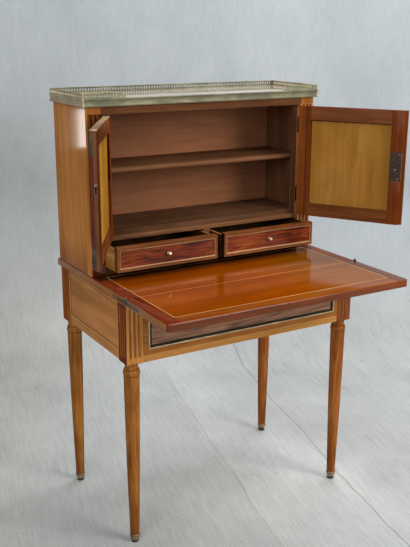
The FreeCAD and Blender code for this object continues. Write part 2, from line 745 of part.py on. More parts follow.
def left_door_pieces():
    frame = door_frame_left(False)
    cuts = [left_bolt_pocket(), box(LAP - 1.4, LAP, 9.7, 17.7, 1032, 1063)]
    frame[1] = frame[1].cut(cuts)
    return {
        "left_door_frame": group(*frame),
        "left_door_panel": door_panel_left(),
        "left_door_moulding": door_moulding_left(),
        "left_door_hinge_leaves": group(*door_hinge_leaves_left(False)),
        "left_door_strike": left_door_strike(),
    }


def right_door_pieces():
    frame = [mirrored(piece) for piece in door_frame_left(True)]
    case_room = box(LAP + 0.4, LOCK_CASE_X, 8.8, DOOR_T + 2, LOCK_Z0, LOCK_Z1)
    plate_room = box(LAP + 0.4, MEETING_X - 1, DOOR_T - 1.5, DOOR_T + 2, LOCK_Z0, LOCK_Z1)
    frame[1] = frame[1].cut([case_room, plate_room, keyhole(KEY_X, KEY_Z, -1, 10)])
    return {
        "right_door_frame": group(*frame),
        "right_door_panel": mirrored(door_panel_left()),
        "right_door_moulding": mirrored(door_moulding_left()),
        "right_door_hinge_leaves": group(*[mirrored(s) for s in door_hinge_leaves_left(False)]),
        "right_door_lock": right_door_lock(),
        "right_door_lock_bolt": right_lock_bolt(),
    }


# ================================================================ drawers, drawn closed
def tails(x0, x1, y0, y1, z0, z1, count):
    """Dovetails on the front end of a drawer side: wider at their tips than at their roots."""
    pitch = (z1 - z0) / count
    out = []
    for k in range(count):
        a = z0 + k * pitch + pitch * 0.12
        b = z0 + (k + 1) * pitch - pitch * 0.12
        flare = pitch * 0.10
        outline = [(y0, a - flare * 0.5), (y1, a + flare), (y1, b - flare), (y0, b + flare * 0.5)]
        out.append(prism_x(outline, x0, x1))
    return out


def drawer_side(x0, x1, front_y, root_y, back_y, z0, z1, count):
    """A side with half-blind dovetails at the front."""
    board = box(x0, x1, root_y, back_y, z0, z1)
    return board.fuse(tails(x0, x1, front_y, root_y + 1, z0, z1, count)).removeSplitter()


def small_drawer_left():
    """Front, box, inlaid line and knob of the left small drawer."""
    x0 = -BAY_X + 0.6
    x1 = -DIVIDER_W / 2 - 0.7
    z0 = BAY_Z0 + 0.6
    z1 = BAY_Z1 - 0.6
    t = SMALL_SIDE_T
    xa = x0 + 0.4
    xb = x1 - 0.4
    side_z0 = BAY_Z0 + 0.4
    side_z1 = BAY_Z1 - 7
    sides = [
        drawer_side(xa, xa + t, 6, SMALL_FRONT_T, SMALL_LEN, side_z0, side_z1, 3),
        drawer_side(xb - t, xb, 6, SMALL_FRONT_T, SMALL_LEN, side_z0, side_z1, 3),
    ]
    bottom = box(xa + 4, xb - 4, SMALL_FRONT_T - 5, SMALL_LEN - 3, side_z0 + 4, side_z0 + 9)
    back = box(xa + t - 4, xb - t + 4, SMALL_LEN - 12, SMALL_LEN - 5, side_z0 + 9, side_z1 - 4)
    front = box(x0, x1, CAB_FRONT, SMALL_FRONT_T, z0, z1)
    knob_x = (x0 + x1) / 2
    knob_z = (z0 + z1) / 2
    knob = small_knob(knob_x, knob_z)
    sunk = CAB_FRONT + FIELD_SUNK
    fillets = mitred_frame(x0 + 8, x1 - 8, z0 + 9, z1 - 9, FILLET_W, CAB_FRONT, sunk + 1)
    xm = 8.0 + FILLET_W
    zm = 9.0 + FILLET_W
    field = box(x0 + xm, x1 - xm, CAB_FRONT - 1, sunk, z0 + zm, z1 - zm)
    front = front.cut(sides + [bottom, knob, field] + fillets)
    sides = [s.cut([bottom, back]) for s in sides]
    return {
        "front": front,
        "box": group(sides[0], sides[1], back, bottom),
        "stringing": group(*fillets),
        "knob": knob,
    }


def small_knob(x, z):
    """Turned brass knob: rose, neck and round head on a spigot that goes into the front."""
    spigot = [(0, -12.0), (1.8, -12.0), (1.8, 0.0)]
    rose = [(5.0, 0.0), (5.0, 1.4), (2.7, 3.2)]
    head = [(2.7, 5.4), (6.4, 8.0), (6.4, 11.2), (3.4, 14.4), (0, 14.4)]
    knob = revolved(spigot + rose + head, 0, 0)
    knob.rotate(V(0, 0, 0), V(1, 0, 0), 90)
    knob.translate(V(x, CAB_FRONT + FIELD_SUNK, z))
    return knob


def long_drawer():
    """The wide drawer in the apron: front, box, moulding, lock and bolt."""
    half = POST_IN - 0.6
    y0 = -HALF_D + 1
    y1 = y0 + LONG_FRONT_T
    z0 = DRAWER_Z0 + 0.6
    z1 = DRAWER_Z1 - 0.6
    t = LONG_SIDE_T
    side_z0 = DRAWER_Z0 + 0.4
    side_z1 = DRAWER_Z1 - 16
    back_y = y0 + LONG_LEN
    side = drawer_side(-half + 0.4, -half + 0.4 + t, y0 + 7, y1, back_y, side_z0, side_z1, 4)
    sides = [side, mirrored(side)]
    bottom = box(-half + 7, half - 7, y1 - 6, back_y - 4, side_z0 + 6, side_z0 + 12)
    back = box(-half + t - 4, half - t + 4, back_y - 18, back_y - 8, side_z0 + 12, side_z1 - 6)
    lock_y0 = y1 - 7
    case = box(-32, 32, lock_y0, y1, z1 - 62, z1)
    channel = box(-8.3, 8.3, lock_y0 + 1.2, y1 - 0.9, z1 - 40, z1 + 1)
    key_z = z1 - 44
    case = case.cut([channel, cyl_y(6.5, lock_y0 - 1, lock_y0 + 4, 0, key_z - 1)])
    case = case.fuse(cyl_y(1.5, lock_y0 + 0.5, y1, 0, key_z)).removeSplitter()
    bolt = box(-8, 8, lock_y0 + 1.5, y1 - 1.2, z1 - 30, z1 - 0.8)
    w = LONG_MOULDING_W
    moulding = mitred_frame(-half + 15, half - 15, z0 + 15, z1 - 15, w, y0 - 2.4, y0)
    field = box(-half + 15 + w, half - 15 - w, y0 - 1, y0 + LONG_FIELD_SUNK, z0 + 15 + w, z1 - 15 - w)
    front = box(-half, half, y0, y1, z0, z1).cut(field)
    room = box(-32, 32, lock_y0, y1 + 1, z1 - 62, z1 + 1)
    front = front.cut(sides + [bottom, room, keyhole(0, key_z, y0 - 1, lock_y0 + 1)])
    sides = [s.cut([bottom, back]) for s in sides]
    return {
        "front": front,
        "box": group(sides[0], sides[1], back, bottom),
        "moulding": group(*moulding),
        "lock": case,
        "lock_bolt": bolt,
    }


# ================================================================ all the pieces, at rest
def moved(shape, dy):
    out = shape.copy()
    out.translate(V(0, dy, 0))
    return out


def build():
    parts = {}
    parts["leg_front_left"] = leg_left(True)
    parts["leg_front_right"] = mirrored(parts["leg_front_left"])
    parts["leg_rear_left"] = leg_left(False)
    parts["leg_rear_right"] = mirrored(parts["leg_rear_left"])
    parts["sabots"] = sabots()
    parts["side_apron_left"] = side_apron_left()
    parts["side_apron_right"] = mirrored(parts["side_apron_left"])
    parts["apron_mouldings"] = apron_mouldings()
    parts["back_apron"] = back_apron()
    parts["front_lower_rail"] = front_lower_rail()
    parts["front_upper_rail"] = front_upper_rail()
    parts["long_drawer_runners"] = drawer_runners()
    parts["table_top"] = table_top()
    parts["table_top_stringing"] = group(*line_grooves(True))
    fixed_leaf = flap_hinge_leaf_left(True)
    parts["flap_hinge_fixed_leaves"] = group(fixed_leaf, mirrored(fixed_leaf))

    parts["pilaster_left"] = pilaster_left()
    parts["pilaster_right"] = mirrored(parts["pilaster_left"])
    parts["cabinet_side_left"] = cabinet_side_left()
    parts["cabinet_side_right"] = mirrored(parts["cabinet_side_left"])
    parts["cabinet_base"] = group(base_rail(), base_board())
    parts["small_drawer_rail"] = small_drawer_rail()
    parts["small_drawer_divider"] = drawer_divider()
    parts["cabinet_floor"] = cabinet_floor()
    parts["cabinet_top_rail"] = cabinet_top_rail()
    parts["door_stops"] = door_stops()
    parts["cabinet_back"] = cabinet_back()
    parts["shelf"] = shelf()
    parts["shelf_battens"] = shelf_battens()
    parts["crowning_board"] = crowning_board()
    parts["brass_band"] = brass_band()
    parts["gallery"] = gallery()
    parts["gallery_front_returns"] = gallery_returns()
    fixed = door_hinge_leaves_left(True)
    parts["door_hinge_fixed_leaves"] = group(*(fixed + [mirrored(s) for s in fixed]))

    parts["flap"] = flap_board()
    parts["flap_stringing"] = group(*line_grooves(False))
    flap_leaf = flap_hinge_leaf_left(False)
    parts["flap_hinge_leaves"] = group(flap_leaf, mirrored(flap_leaf))

    x, y = pin_xy()
    for name, shape in left_door_pieces().items():
        parts[name] = turned_about(shape, -LEFT_OPEN, -x, y)
    for name, shape in right_door_pieces().items():
        parts[name] = turned_about(shape, RIGHT_OPEN, x, y)

    for name, shape in small_drawer_left().items():
        parts["small_drawer_left_" + name] = moved(shape, -SMALL_OUT)
        parts["small_drawer_right_" + name] = moved(mirrored(shape), -SMALL_OUT)
    for name, shape in long_drawer().items():
        parts["long_drawer_" + name] = shape
    return parts


def main():
    os.makedirs("parts", exist_ok=True)
    for name, shape in build().items():
        moved(shape, FRAME_Y).exportStep("parts/" + name + ".step")


main()
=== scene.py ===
"""Bonheur du jour, dressed: French-polished mahogany, toned brass, doors and drawers open.

Metres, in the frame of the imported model: the front faces -Y, +X is to the right, +Z is up.
Sizes that belong to the furniture are given in millimetres and turned to metres by mm().
"""
import math

import bpy
from mathutils import Matrix, Vector


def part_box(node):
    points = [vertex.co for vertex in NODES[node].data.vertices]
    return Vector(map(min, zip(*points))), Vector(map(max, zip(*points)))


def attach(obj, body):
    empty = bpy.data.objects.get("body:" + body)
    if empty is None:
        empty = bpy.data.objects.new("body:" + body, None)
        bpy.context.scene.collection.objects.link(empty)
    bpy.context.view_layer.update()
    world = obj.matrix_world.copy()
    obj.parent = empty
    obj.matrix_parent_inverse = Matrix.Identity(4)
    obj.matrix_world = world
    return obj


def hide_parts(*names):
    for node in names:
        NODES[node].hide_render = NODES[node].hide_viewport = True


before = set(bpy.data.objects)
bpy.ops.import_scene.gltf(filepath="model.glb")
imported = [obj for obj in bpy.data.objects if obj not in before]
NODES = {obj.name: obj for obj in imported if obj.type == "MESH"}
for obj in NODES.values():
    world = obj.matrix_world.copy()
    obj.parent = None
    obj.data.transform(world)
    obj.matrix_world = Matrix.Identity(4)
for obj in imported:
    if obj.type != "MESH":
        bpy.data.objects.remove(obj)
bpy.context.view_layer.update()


def mm(value):
    return value / 1000.0


# ---------------------------------------------------------------- sizes of the desk, in millimetres
POST_MID_X = 355.0            # middle of a leg post
POST_FRONT_Y = -90.0
POST_REAR_Y = 310.0
POST = 50.0
APRON_Z = 551.0               # underside of the apron, where the turning starts
POST_TOP_Z = 720.0
FLUTE_STEP = 13.0             # from flute to flute
TOP_Z = 740.0
SEAM_Y = -122.0               # between the fixed top and the flap
FLAP_FRONT_Y = -352.0
PLINTH_Y = 112.0              # front of the rail under the small drawers
TOP_HALF_X = 383.0
EDGE_MIDDLE_Z = 729.5         # middle of the edges of the top and the flap
PILASTER_X0 = -380.0          # left pilaster, outer and inner face
PILASTER_X1 = -334.0
PILASTER_FRONT_Y = 110.0
PILASTER_T = 20.0
SIDE_IN_X = 356.0             # inner faces of the cabinet sides
CROWN_Z0 = 1210.0
CROWN_Z1 = 1232.0
CROWN_HALF_X = 386.0          # crowning board, without its band
CROWN_FRONT_Y = 104.0
CROWN_BACK_Y = 342.0
GALLERY_H = 15.0
GALLERY_HALF_X = 387.5
GALLERY_FRONT_Y = 102.4
GALLERY_BACK_Y = 339.5
RETURN_L = 105.0
BAY = 8.7                     # one bay of the gallery
PIN_X = 333.5                 # door hinge pins
PIN_Y = 106.0
LEFT_OPEN = 120.0             # degrees
RIGHT_OPEN = 122.0
DOOR_FACE_Y = 128.0           # inner face of a closed door
DOOR_FOOT_Z = 849.0
DOOR_HEAD_Z = 1186.0
DOOR_RAIL = 40.0              # width of the top and bottom rails of a door
PANEL_IN_X = 43.5             # opening of a closed door, next to the meeting stile
PANEL_OUT_X = 293.0           # and next to the hanging stile
LEFT_EDGE_X = -0.4            # outer step of the left door's meeting edge
HINGE_MIDDLES_Z = (909.0, 1126.0)
KNUCKLE_ROOM = 25.4           # half the length of a hinge knuckle, with its play
APRON_FIELD_Y = (-60.0, 280.0)
APRON_FIELD_Z = (APRON_Z + 26.0, POST_TOP_Z - 13.0)
FIELD_SUNK = 2.5              # the fields of the small drawers lie behind their borders
BEYOND = 400.0                # past the ends of every piece, for zones that are open on one side


# ================================================================ colour and nodes
def linear(hex_colour):
    """An sRGB hex colour as linear red, green, blue and alpha."""
    out = []
    for k in (1, 3, 5):
        part = int(hex_colour[k:k + 2], 16) / 255.0
        out.append(part / 12.92 if part <= 0.04045 else ((part + 0.055) / 1.055) ** 2.4)
    return (*out, 1.0)


def add(tree, kind, inputs=None, stops=(), out=None, **settings):
    """Add a shader node with its settings and links, and give one of its outputs.

    The kind is the node's type without its ShaderNode prefix.  An input is a plain value, or an
    output of another node.  Stops fill a colour ramp.
    """
    made = tree.nodes.new("ShaderNode" + kind)
    for key, value in settings.items():
        setattr(made, key, value)
    for key, value in (inputs or {}).items():
        if isinstance(value, bpy.types.NodeSocket):
            tree.links.new(value, made.inputs[key])
        else:
            made.inputs[key].default_value = value
    for k, (position, colour) in enumerate(stops):
        elements = made.color_ramp.elements
        stop = elements[k] if k < 2 else elements.new(position)
        stop.position = position
        stop.color = linear(colour)
    if out is not None:
        return made.outputs[out]
    return next((socket for socket in made.outputs if socket.enabled), None)


def new_material(name):
    material = bpy.data.materials.new(name)
    material.use_nodes = True
    material.node_tree.nodes.clear()
    return material, material.node_tree


def per_unit(*sizes_mm):
    """Scale that makes a feature of these sizes along X, Y and Z one unit long."""
    return [1000.0 / size for size in sizes_mm]


def along(grain, across_mm, along_mm):
    """Scale for a feature of the wood that runs along the grain's axis."""
    return per_unit(*[along_mm if axis == grain else across_mm for axis in "XYZ"])


def inside_box(tree, here, limits_mm):
    """1 inside a box given by (axis, low, high) limits in millimetres, 0 outside."""
    total = 1.0
    for axis, low, high in limits_mm:
        value = add(tree, "SeparateXYZ", {"Vector": here}, out=axis)
        one = add(tree, "Math", {0: value, 1: mm((low + high) / 2), 2: mm((high - low) / 2)},
                  operation="COMPARE")
        total = add(tree, "Math", {0: one, 1: total}, operation="MULTIPLY")
    return total


def blended(tree, *layers):
    """Sum of patterns, each (pattern, share)."""
    total = 0.0
    for pattern, share in layers:
        total = add(tree, "Math", {0: pattern, 1: share, 2: total}, operation="MULTIPLY_ADD")
    return total


# ================================================================ woods
# roughness of the wood's ground, weight of the shellac skin over it, roughness of the skin
BARE = (0.65, 0.0, 0.4)       # waxed only
DULL = (0.5, 0.08, 0.3)
HANDLED = (0.5, 0.12, 0.2)
SATIN = (0.45, 0.15, 0.2)
GLOSSY = (0.45, 0.22, 0.12)
CLEAR = (0.45, 0.3, 0.08)
SHINING = (0.4, 0.65, 0.10)
MIRROR = (0.4, 1.0, 0.03)


def wood_figure(tree, here, tones, grain, figure_mm, curl):
    """Figure of a sawn board: broad bands, finer streaks and slow clouds; gives colour and streaks."""
    wide = along(grain, figure_mm, figure_mm * 11)
    place = add(tree, "Mapping", {"Vector": here, "Scale": wide})
    broad = add(tree, "TexNoise", {"Vector": place, "Scale": 1.0, "Detail": 3.0, "Distortion": curl})
    place = add(tree, "Mapping", {"Vector": here, "Scale": along(grain, 6.0, 150.0)})
    streaks = add(tree, "TexNoise", {"Vector": place, "Scale": 1.0, "Detail": 4.0, "Distortion": 0.4})
    place = add(tree, "Mapping", {"Vector": here, "Scale": along(grain, 90.0, 160.0)})
    clouds = add(tree, "TexNoise", {"Vector": place, "Scale": 1.0, "Detail": 3.0})
    figure = blended(tree, (broad, 0.50), (streaks, 0.22), (clouds, 0.28))
    colour = add(tree, "ValToRGB", {"Fac": figure}, stops=list(zip((0.38, 0.50, 0.62), tones)))
    return colour, streaks


def wood(name, tones, grain, zones=(), polish=GLOSSY, place=None, figure_mm=38.0, curl=0.8,
         spots=(), soil=()):
    """Polished wood: a warm, dull ground under a clear skin of shellac, which alone mirrors the room.

    A zone is (limits, tones, grain), a veneer of its own such as a border.  A spot is a knot
    (x, y, z, radius).  A wash is (axis, clean, washed, colour), multiplied in along the axis from none
    at the clean place to full at the washed one; washes here are painted shade, a painted reflection and
    greying at feet.  Place turns and shifts the pattern.
    """
    material, tree = new_material(name)
    here = add(tree, "TexCoord", out="Object")
    if place is not None:
        turn, shift = place
        here = add(tree, "Mapping", {"Vector": here, "Rotation": (0, 0, turn), "Location": shift})
    colour, streaks = wood_figure(tree, here, tones, grain, figure_mm, curl)
    # each wash multiplies its colour in, as painted shade, painted reflection and greying
    for axis, clean, soiled, darkening in soil:
        amount = add(tree, "SeparateXYZ", {"Vector": here}, out=axis)
        amount = add(tree, "MapRange", {"Value": amount, "From Min": mm(clean), "From Max": mm(soiled)})
        colour = add(tree, "Mix", {"Factor": amount, 6: colour, 7: linear(darkening)},
                     data_type="RGBA", blend_type="MULTIPLY")
    for limits, zone_tones, zone_grain in zones:
        veneer, _ = wood_figure(tree, here, zone_tones, zone_grain, figure_mm, curl)
        colour = add(tree, "Mix", {"Factor": inside_box(tree, here, limits), 6: colour, 7: veneer},
                     data_type="RGBA")
    for x, y, z, radius in spots:
        away = add(tree, "VectorMath", {0: here, 1: (mm(x), mm(y), mm(z))}, operation="DISTANCE")
        near = add(tree, "MapRange", {"Value": away, "From Min": mm(radius * 0.4), "From Max": mm(radius),
                                      "To Min": 0.75, "To Max": 0.0})
        colour = add(tree, "Mix", {"Factor": near, 6: colour, 7: linear("#2A160C")}, data_type="RGBA")
    # pores: short dark dashes, 0.4 mm wide on the real wood, drawn 2 mm wide so that they show
    fine = add(tree, "Mapping", {"Vector": here, "Scale": along(grain, 2.0, 26.0)})
    pores = add(tree, "TexNoise", {"Vector": fine, "Scale": 1.0, "Detail": 2.0})
    pores = add(tree, "MapRange", {"Value": pores, "From Min": 0.56, "From Max": 0.74, "To Max": 0.22})
    colour = add(tree, "Mix", {"Factor": pores, 6: colour, 7: linear(tones[0])},
                 data_type="RGBA", blend_type="MULTIPLY")
    ground, skin, skin_roughness = polish
    rub = add(tree, "Mapping", {"Vector": here, "Scale": per_unit(70.0, 70.0, 70.0)})
    rub = add(tree, "TexNoise", {"Vector": rub, "Scale": 1.0, "Detail": 4.0})
    dull = add(tree, "MapRange", {"Value": rub, "From Min": 0.3, "From Max": 0.7,
                                  "To Min": ground * 0.8, "To Max": ground * 1.2})
    relief = add(tree, "Math", {0: streaks, 1: 0.4, 2: pores}, operation="MULTIPLY_ADD")
    bump = add(tree, "Bump", {"Height": relief, "Strength": 0.10, "Distance": mm(0.2)})
    shader = add(tree, "BsdfPrincipled", {
        "Base Color": colour, "Roughness": dull, "Specular IOR Level": 0.0,
        "Coat Weight": skin, "Coat Roughness": skin_roughness, "Coat IOR": 1.5, "Normal": bump})
    add(tree, "OutputMaterial", {"Surface": shader})
    return material


# ================================================================ metals and cloth
def aged_brass(name, clean, toned, roughness, bare=1.0, zones=()):
    """Cast brass that has toned: greenish grey skin, brighter where dusters have rubbed it.

    Bare is the share of metal that still shows through its skin of oxide.  A zone is
    (limits, clean, toned), a part with colours of its own, mostly painted light.
    """
    material, tree = new_material(name)
    here = add(tree, "TexCoord", out="Object")
    place = add(tree, "Mapping", {"Vector": here, "Scale": per_unit(60.0, 60.0, 24.0)})
    patches = add(tree, "TexNoise", {"Vector": place, "Scale": 1.0, "Detail": 5.0, "Distortion": 0.6})
    place = add(tree, "Mapping", {"Vector": here, "Scale": per_unit(4.0, 4.0, 4.0)})
    grime = add(tree, "TexNoise", {"Vector": place, "Scale": 1.0, "Detail": 3.0})
    colour = add(tree, "ValToRGB", {"Fac": patches}, stops=[(0.40, clean), (0.60, toned)])
    for limits, zone_clean, zone_toned in zones:
        strip = add(tree, "ValToRGB", {"Fac": patches}, stops=[(0.40, zone_clean), (0.60, zone_toned)])
        colour = add(tree, "Mix", {"Factor": inside_box(tree, here, limits), 6: colour, 7: strip},
                     data_type="RGBA")
    darkening = add(tree, "MapRange", {"Value": grime, "From Min": 0.54, "From Max": 0.76, "To Max": 0.5})
    colour = add(tree, "Mix", {"Factor": darkening, 6: colour, 7: linear("#3E3C2C")}, data_type="RGBA")
    dull = add(tree, "MapRange", {"Value": patches, "From Min": 0.3, "From Max": 0.7,
                                  "To Min": roughness - 0.06, "To Max": roughness + 0.12})
    bump = add(tree, "Bump", {"Height": grime, "Strength": 0.12, "Distance": mm(0.25)})
    shader = add(tree, "BsdfPrincipled", {
        "Base Color": colour, "Metallic": bare, "Roughness": dull, "Normal": bump})
    add(tree, "OutputMaterial", {"Surface": shader})
    return material


def browned_iron(name, tones):
    """Filed iron of a lock: grey, dull, with a little rust in its pits."""
    material, tree = new_material(name)
    here = add(tree, "TexCoord", out="Object")
    place = add(tree, "Mapping", {"Vector": here, "Scale": per_unit(6.0, 6.0, 6.0)})
    pits = add(tree, "TexNoise", {"Vector": place, "Scale": 1.0, "Detail": 5.0})
    colour = add(tree, "ValToRGB", {"Fac": pits}, stops=list(zip((0.35, 0.55, 0.70), tones)))
    dull = add(tree, "MapRange", {"Value": pits, "From Min": 0.3, "From Max": 0.7,
                                  "To Min": 0.44, "To Max": 0.64})
    bump = add(tree, "Bump", {"Height": pits, "Strength": 0.2, "Distance": mm(0.3)})
    shader = add(tree, "BsdfPrincipled", {
        "Base Color": colour, "Metallic": 0.85, "Roughness": dull, "Normal": bump})
    add(tree, "OutputMaterial", {"Surface": shader})
    return material


WEAVE_TURN = 0.232                        # radians from the Y axis to the weave on the floor
FOLDS = ((0.094, 0.25), (0.436, 0.55))    # metres across the weave, and how dark the fold's painted shade line is
FOLD_HALF_WIDTH = 0.0022
PAINTED_LIGHT_SPOT = (0.06, -0.02, 0.0)            # middle of a spot under the desk painted lighter, as painted light
CLOTH_DIRT_AND_FOLD_SHADE = "#6E6A64"


def studio_cloth(name, yaw):
    """Dull woven cloth: cool grey with fine hanging creases, warmer on the floor, with painted light and
    shade.

    Its creases and its weave are drawn 7 to 9 mm wide, as the threads are too fine to show.
    """
    material, tree = new_material(name)
    here = add(tree, "TexCoord", out="Object")
    across = add(tree, "Mapping", {"Vector": here, "Rotation": (0, 0, yaw)})
    place = add(tree, "Mapping", {"Vector": across, "Scale": per_unit(9.0, 500.0, 80.0)})
    creases = add(tree, "TexNoise", {"Vector": place, "Scale": 1.0, "Detail": 4.0, "Distortion": 1.4})
    place = add(tree, "Mapping", {"Vector": here, "Scale": per_unit(300.0, 300.0, 420.0)})
    clouds = add(tree, "TexNoise", {"Vector": place, "Scale": 1.0, "Detail": 6.0, "Roughness": 0.6})
    mixed = blended(tree, (clouds, 0.65), (creases, 0.35))
    hanging = add(tree, "ValToRGB", {"Fac": mixed}, stops=[(0.38, "#A4AAAF"), (0.62, "#B2B8BD")])
    # on the floor the weave runs towards the desk, with two folds from lying in a cupboard
    lengthwise = add(tree, "Mapping", {"Vector": here, "Rotation": (0, 0, WEAVE_TURN)})
    place = add(tree, "Mapping", {"Vector": lengthwise, "Scale": per_unit(7.0, 130.0, 100.0)})
    weave = add(tree, "TexNoise", {"Vector": place, "Scale": 1.0, "Detail": 3.0, "Distortion": 0.6})
    mixed_low = blended(tree, (clouds, 0.55), (weave, 0.45))
    lying = add(tree, "ValToRGB", {"Fac": mixed_low}, stops=[(0.36, "#C4C7C7"), (0.64, "#DEE1E0")])
    breadth = add(tree, "SeparateXYZ", {"Vector": lengthwise}, out="X")
    breadth = add(tree, "Math", {0: clouds, 1: 0.05, 2: breadth}, operation="MULTIPLY_ADD")
    # painted shade: greyer to the left of the first fold, away from the painted light spot and past the
    # desk's right end
    beside = add(tree, "MapRange", {"Value": breadth, "From Min": 0.085, "From Max": 0.103, "To Min": 0.92})
    spot = add(tree, "VectorMath", {0: here, 1: PAINTED_LIGHT_SPOT}, operation="DISTANCE", out="Value")
    painted_shading = add(tree, "MapRange", {"Value": spot, "From Min": 0.06, "From Max": 0.52,
                                  "To Min": 1.0, "To Max": 0.74}, interpolation_type="SMOOTHSTEP")
    painted_shading = add(tree, "Math", {0: painted_shading, 1: beside}, operation="MULTIPLY")
    right = add(tree, "SeparateXYZ", {"Vector": here}, out="X")
    right = add(tree, "MapRange", {"Value": right, "From Min": 0.25, "From Max": 0.5,
                                   "To Min": 1.0, "To Max": 0.82})
    painted_shading = add(tree, "Math", {0: painted_shading, 1: right}, operation="MULTIPLY")
    lying = add(tree, "Mix", {"Factor": 1.0, 6: lying, 7: painted_shading}, data_type="RGBA", blend_type="MULTIPLY")
    # painted shade along the two folds
    for where, strength in FOLDS:
        fold = add(tree, "Math", {0: breadth, 1: where, 2: FOLD_HALF_WIDTH}, operation="COMPARE")
        fold = add(tree, "Math", {0: fold, 1: strength}, operation="MULTIPLY")
        lying = add(tree, "Mix", {"Factor": fold, 6: lying, 7: linear(CLOTH_DIRT_AND_FOLD_SHADE)}, data_type="RGBA")
    place = add(tree, "Mapping", {"Vector": here, "Scale": per_unit(17.0, 17.0, 17.0)})
    specks = add(tree, "TexNoise", {"Vector": place, "Scale": 1.0, "Detail": 1.0})
    specks = add(tree, "MapRange", {"Value": specks, "From Min": 0.74, "From Max": 0.79, "To Max": 0.65})
    lying = add(tree, "Mix", {"Factor": specks, 6: lying, 7: linear(CLOTH_DIRT_AND_FOLD_SHADE)}, data_type="RGBA")
    height = add(tree, "SeparateXYZ", {"Vector": here}, out="Z")
    up = add(tree, "MapRange", {"Value": height, "From Min": 0.0, "From Max": 0.5})
    colour = add(tree, "Mix", {"Factor": up, 6: lying, 7: hanging}, data_type="RGBA")
    # painted shade: the lower left of the hanging part is darker and warmer
    sideways = add(tree, "SeparateXYZ", {"Vector": across}, out="X")
    left = add(tree, "MapRange", {"Value": sideways, "From Min": -0.42, "From Max": -0.80})
    low = add(tree, "MapRange", {"Value": height, "From Min": 1.25, "From Max": 0.85})
    soiled = add(tree, "Math", {0: left, 1: low}, operation="MULTIPLY")
    colour = add(tree, "Mix", {"Factor": soiled, 6: colour, 7: linear("#F0EDE8")},
                 data_type="RGBA", blend_type="MULTIPLY")
    shader = add(tree, "BsdfPrincipled", {
        "Base Color": colour, "Roughness": 0.95, "Specular IOR Level": 0.1})
    # a camera that stands behind the cloth looks through it, as the cloth is hung for one side only
    backface = add(tree, "NewGeometry", out="Backfacing")
    seen = add(tree, "LightPath", out="Is Camera Ray")
    behind = add(tree, "Math", {0: backface, 1: seen}, operation="MULTIPLY")
    clear = add(tree, "BsdfTransparent")
    surface = add(tree, "MixShader", {0: behind, 1: shader, 2: clear})
    add(tree, "OutputMaterial", {"Surface": surface})
    return material


# ================================================================ modelling helpers
def nothing_selected():
    if bpy.context.mode != "OBJECT":
        bpy.ops.object.mode_set(mode="OBJECT")
    bpy.ops.object.select_all(action="DESELECT")


def only(obj):
    """Select one piece and make it active, as most operators need."""
    nothing_selected()
    obj.select_set(True)
    bpy.context.view_layer.objects.active = obj


def settle(obj):
    """Write place, turn and size into the mesh, so that the object sits at the origin."""
    only(obj)
    bpy.ops.object.transform_apply(location=True, rotation=True, scale=True)


def moved_to(obj, x, y, z):
    """Set a piece down at a place in millimetres."""
    obj.location = (mm(x), mm(y), mm(z))
    settle(obj)
    return obj


def block(low, high):
    """A board with square edges between two corners, in millimetres."""
    nothing_selected()
    middle = [mm((a + b) / 2) for a, b in zip(low, high)]
    bpy.ops.mesh.primitive_cube_add(size=1.0, location=middle)
    obj = bpy.context.object
    obj.scale = [mm(b - a) for a, b in zip(low, high)]
    settle(obj)
    return obj


def eased(obj, width_mm, segments=2):
    """Break the arrises, as a cabinetmaker does with a block and paper."""
    only(obj)
    bevel = obj.modifiers.new("eased arris", "BEVEL")
    bevel.width = mm(width_mm)
    bevel.segments = segments
    bevel.limit_method = "ANGLE"
    bevel.angle_limit = math.radians(40.0)
    bpy.ops.object.modifier_apply(modifier=bevel.name)
    return obj


def joined(objects):
    """Several meshes as one object."""
    if len(objects) == 1:
        return objects[0]
    nothing_selected()
    for obj in objects:
        obj.select_set(True)
    bpy.context.view_layer.objects.active = objects[0]
    bpy.ops.object.join()
    return bpy.context.object


def cut(obj, cutters):
    """Take the cutters' shapes out of a piece."""
    tool = joined(cutters)
    only(obj)
    carve = obj.modifiers.new("cut", "BOOLEAN")
    carve.operation = "DIFFERENCE"
    carve.solver = "EXACT"
    carve.object = tool
    bpy.ops.object.modifier_apply(modifier=carve.name)
    bpy.data.objects.remove(tool)
    return obj


def outward(obj):
    """Merge doubled points and turn every face outwards."""
    only(obj)
    bpy.ops.object.mode_set(mode="EDIT")
    bpy.ops.mesh.select_all(action="SELECT")
    bpy.ops.mesh.remove_doubles(threshold=mm(0.01))
    bpy.ops.mesh.normals_make_consistent(inside=False)
    bpy.ops.object.mode_set(mode="OBJECT")
    return obj


def copied(obj, shift_mm=(0, 0, 0), flip_x=False):
    """A copy with a mesh of its own, moved, or mirrored to the other side of the desk."""
    twin = obj.copy()
    twin.data = obj.data.copy()
    bpy.context.scene.collection.objects.link(twin)
    if flip_x:
        twin.scale = (-1, 1, 1)
    moved_to(twin, *shift_mm)
    if flip_x:
        outward(twin)
    return twin


def turned(profile, x, y, sides=48):
    """Lathe work: a ring drawn up through (radius, height) steps and closed at both ends."""
    nothing_selected()
    radius, height = profile[0]
    bpy.ops.mesh.primitive_circle_add(vertices=sides, radius=mm(radius),
                                      location=(mm(x), mm(y), mm(height)))
    obj = bpy.context.object
    bpy.ops.object.mode_set(mode="EDIT")
    bpy.ops.mesh.select_all(action="SELECT")
    for next_radius, next_height in profile[1:]:
        rise = (0, 0, mm(next_height - height))
        bpy.ops.mesh.extrude_region_move(TRANSFORM_OT_translate={"value": rise})
        grow = next_radius / radius
        middle = (mm(x), mm(y), mm(next_height))
        bpy.ops.transform.resize(value=(grow, grow, 1.0), center_override=middle)
        radius, height = next_radius, next_height
    bpy.ops.mesh.select_mode(type="EDGE")
    bpy.ops.mesh.select_all(action="SELECT")
    bpy.ops.mesh.region_to_loop()
    bpy.ops.mesh.edge_face_add()
    bpy.ops.object.mode_set(mode="OBJECT")
    settle(obj)
    return outward(obj)


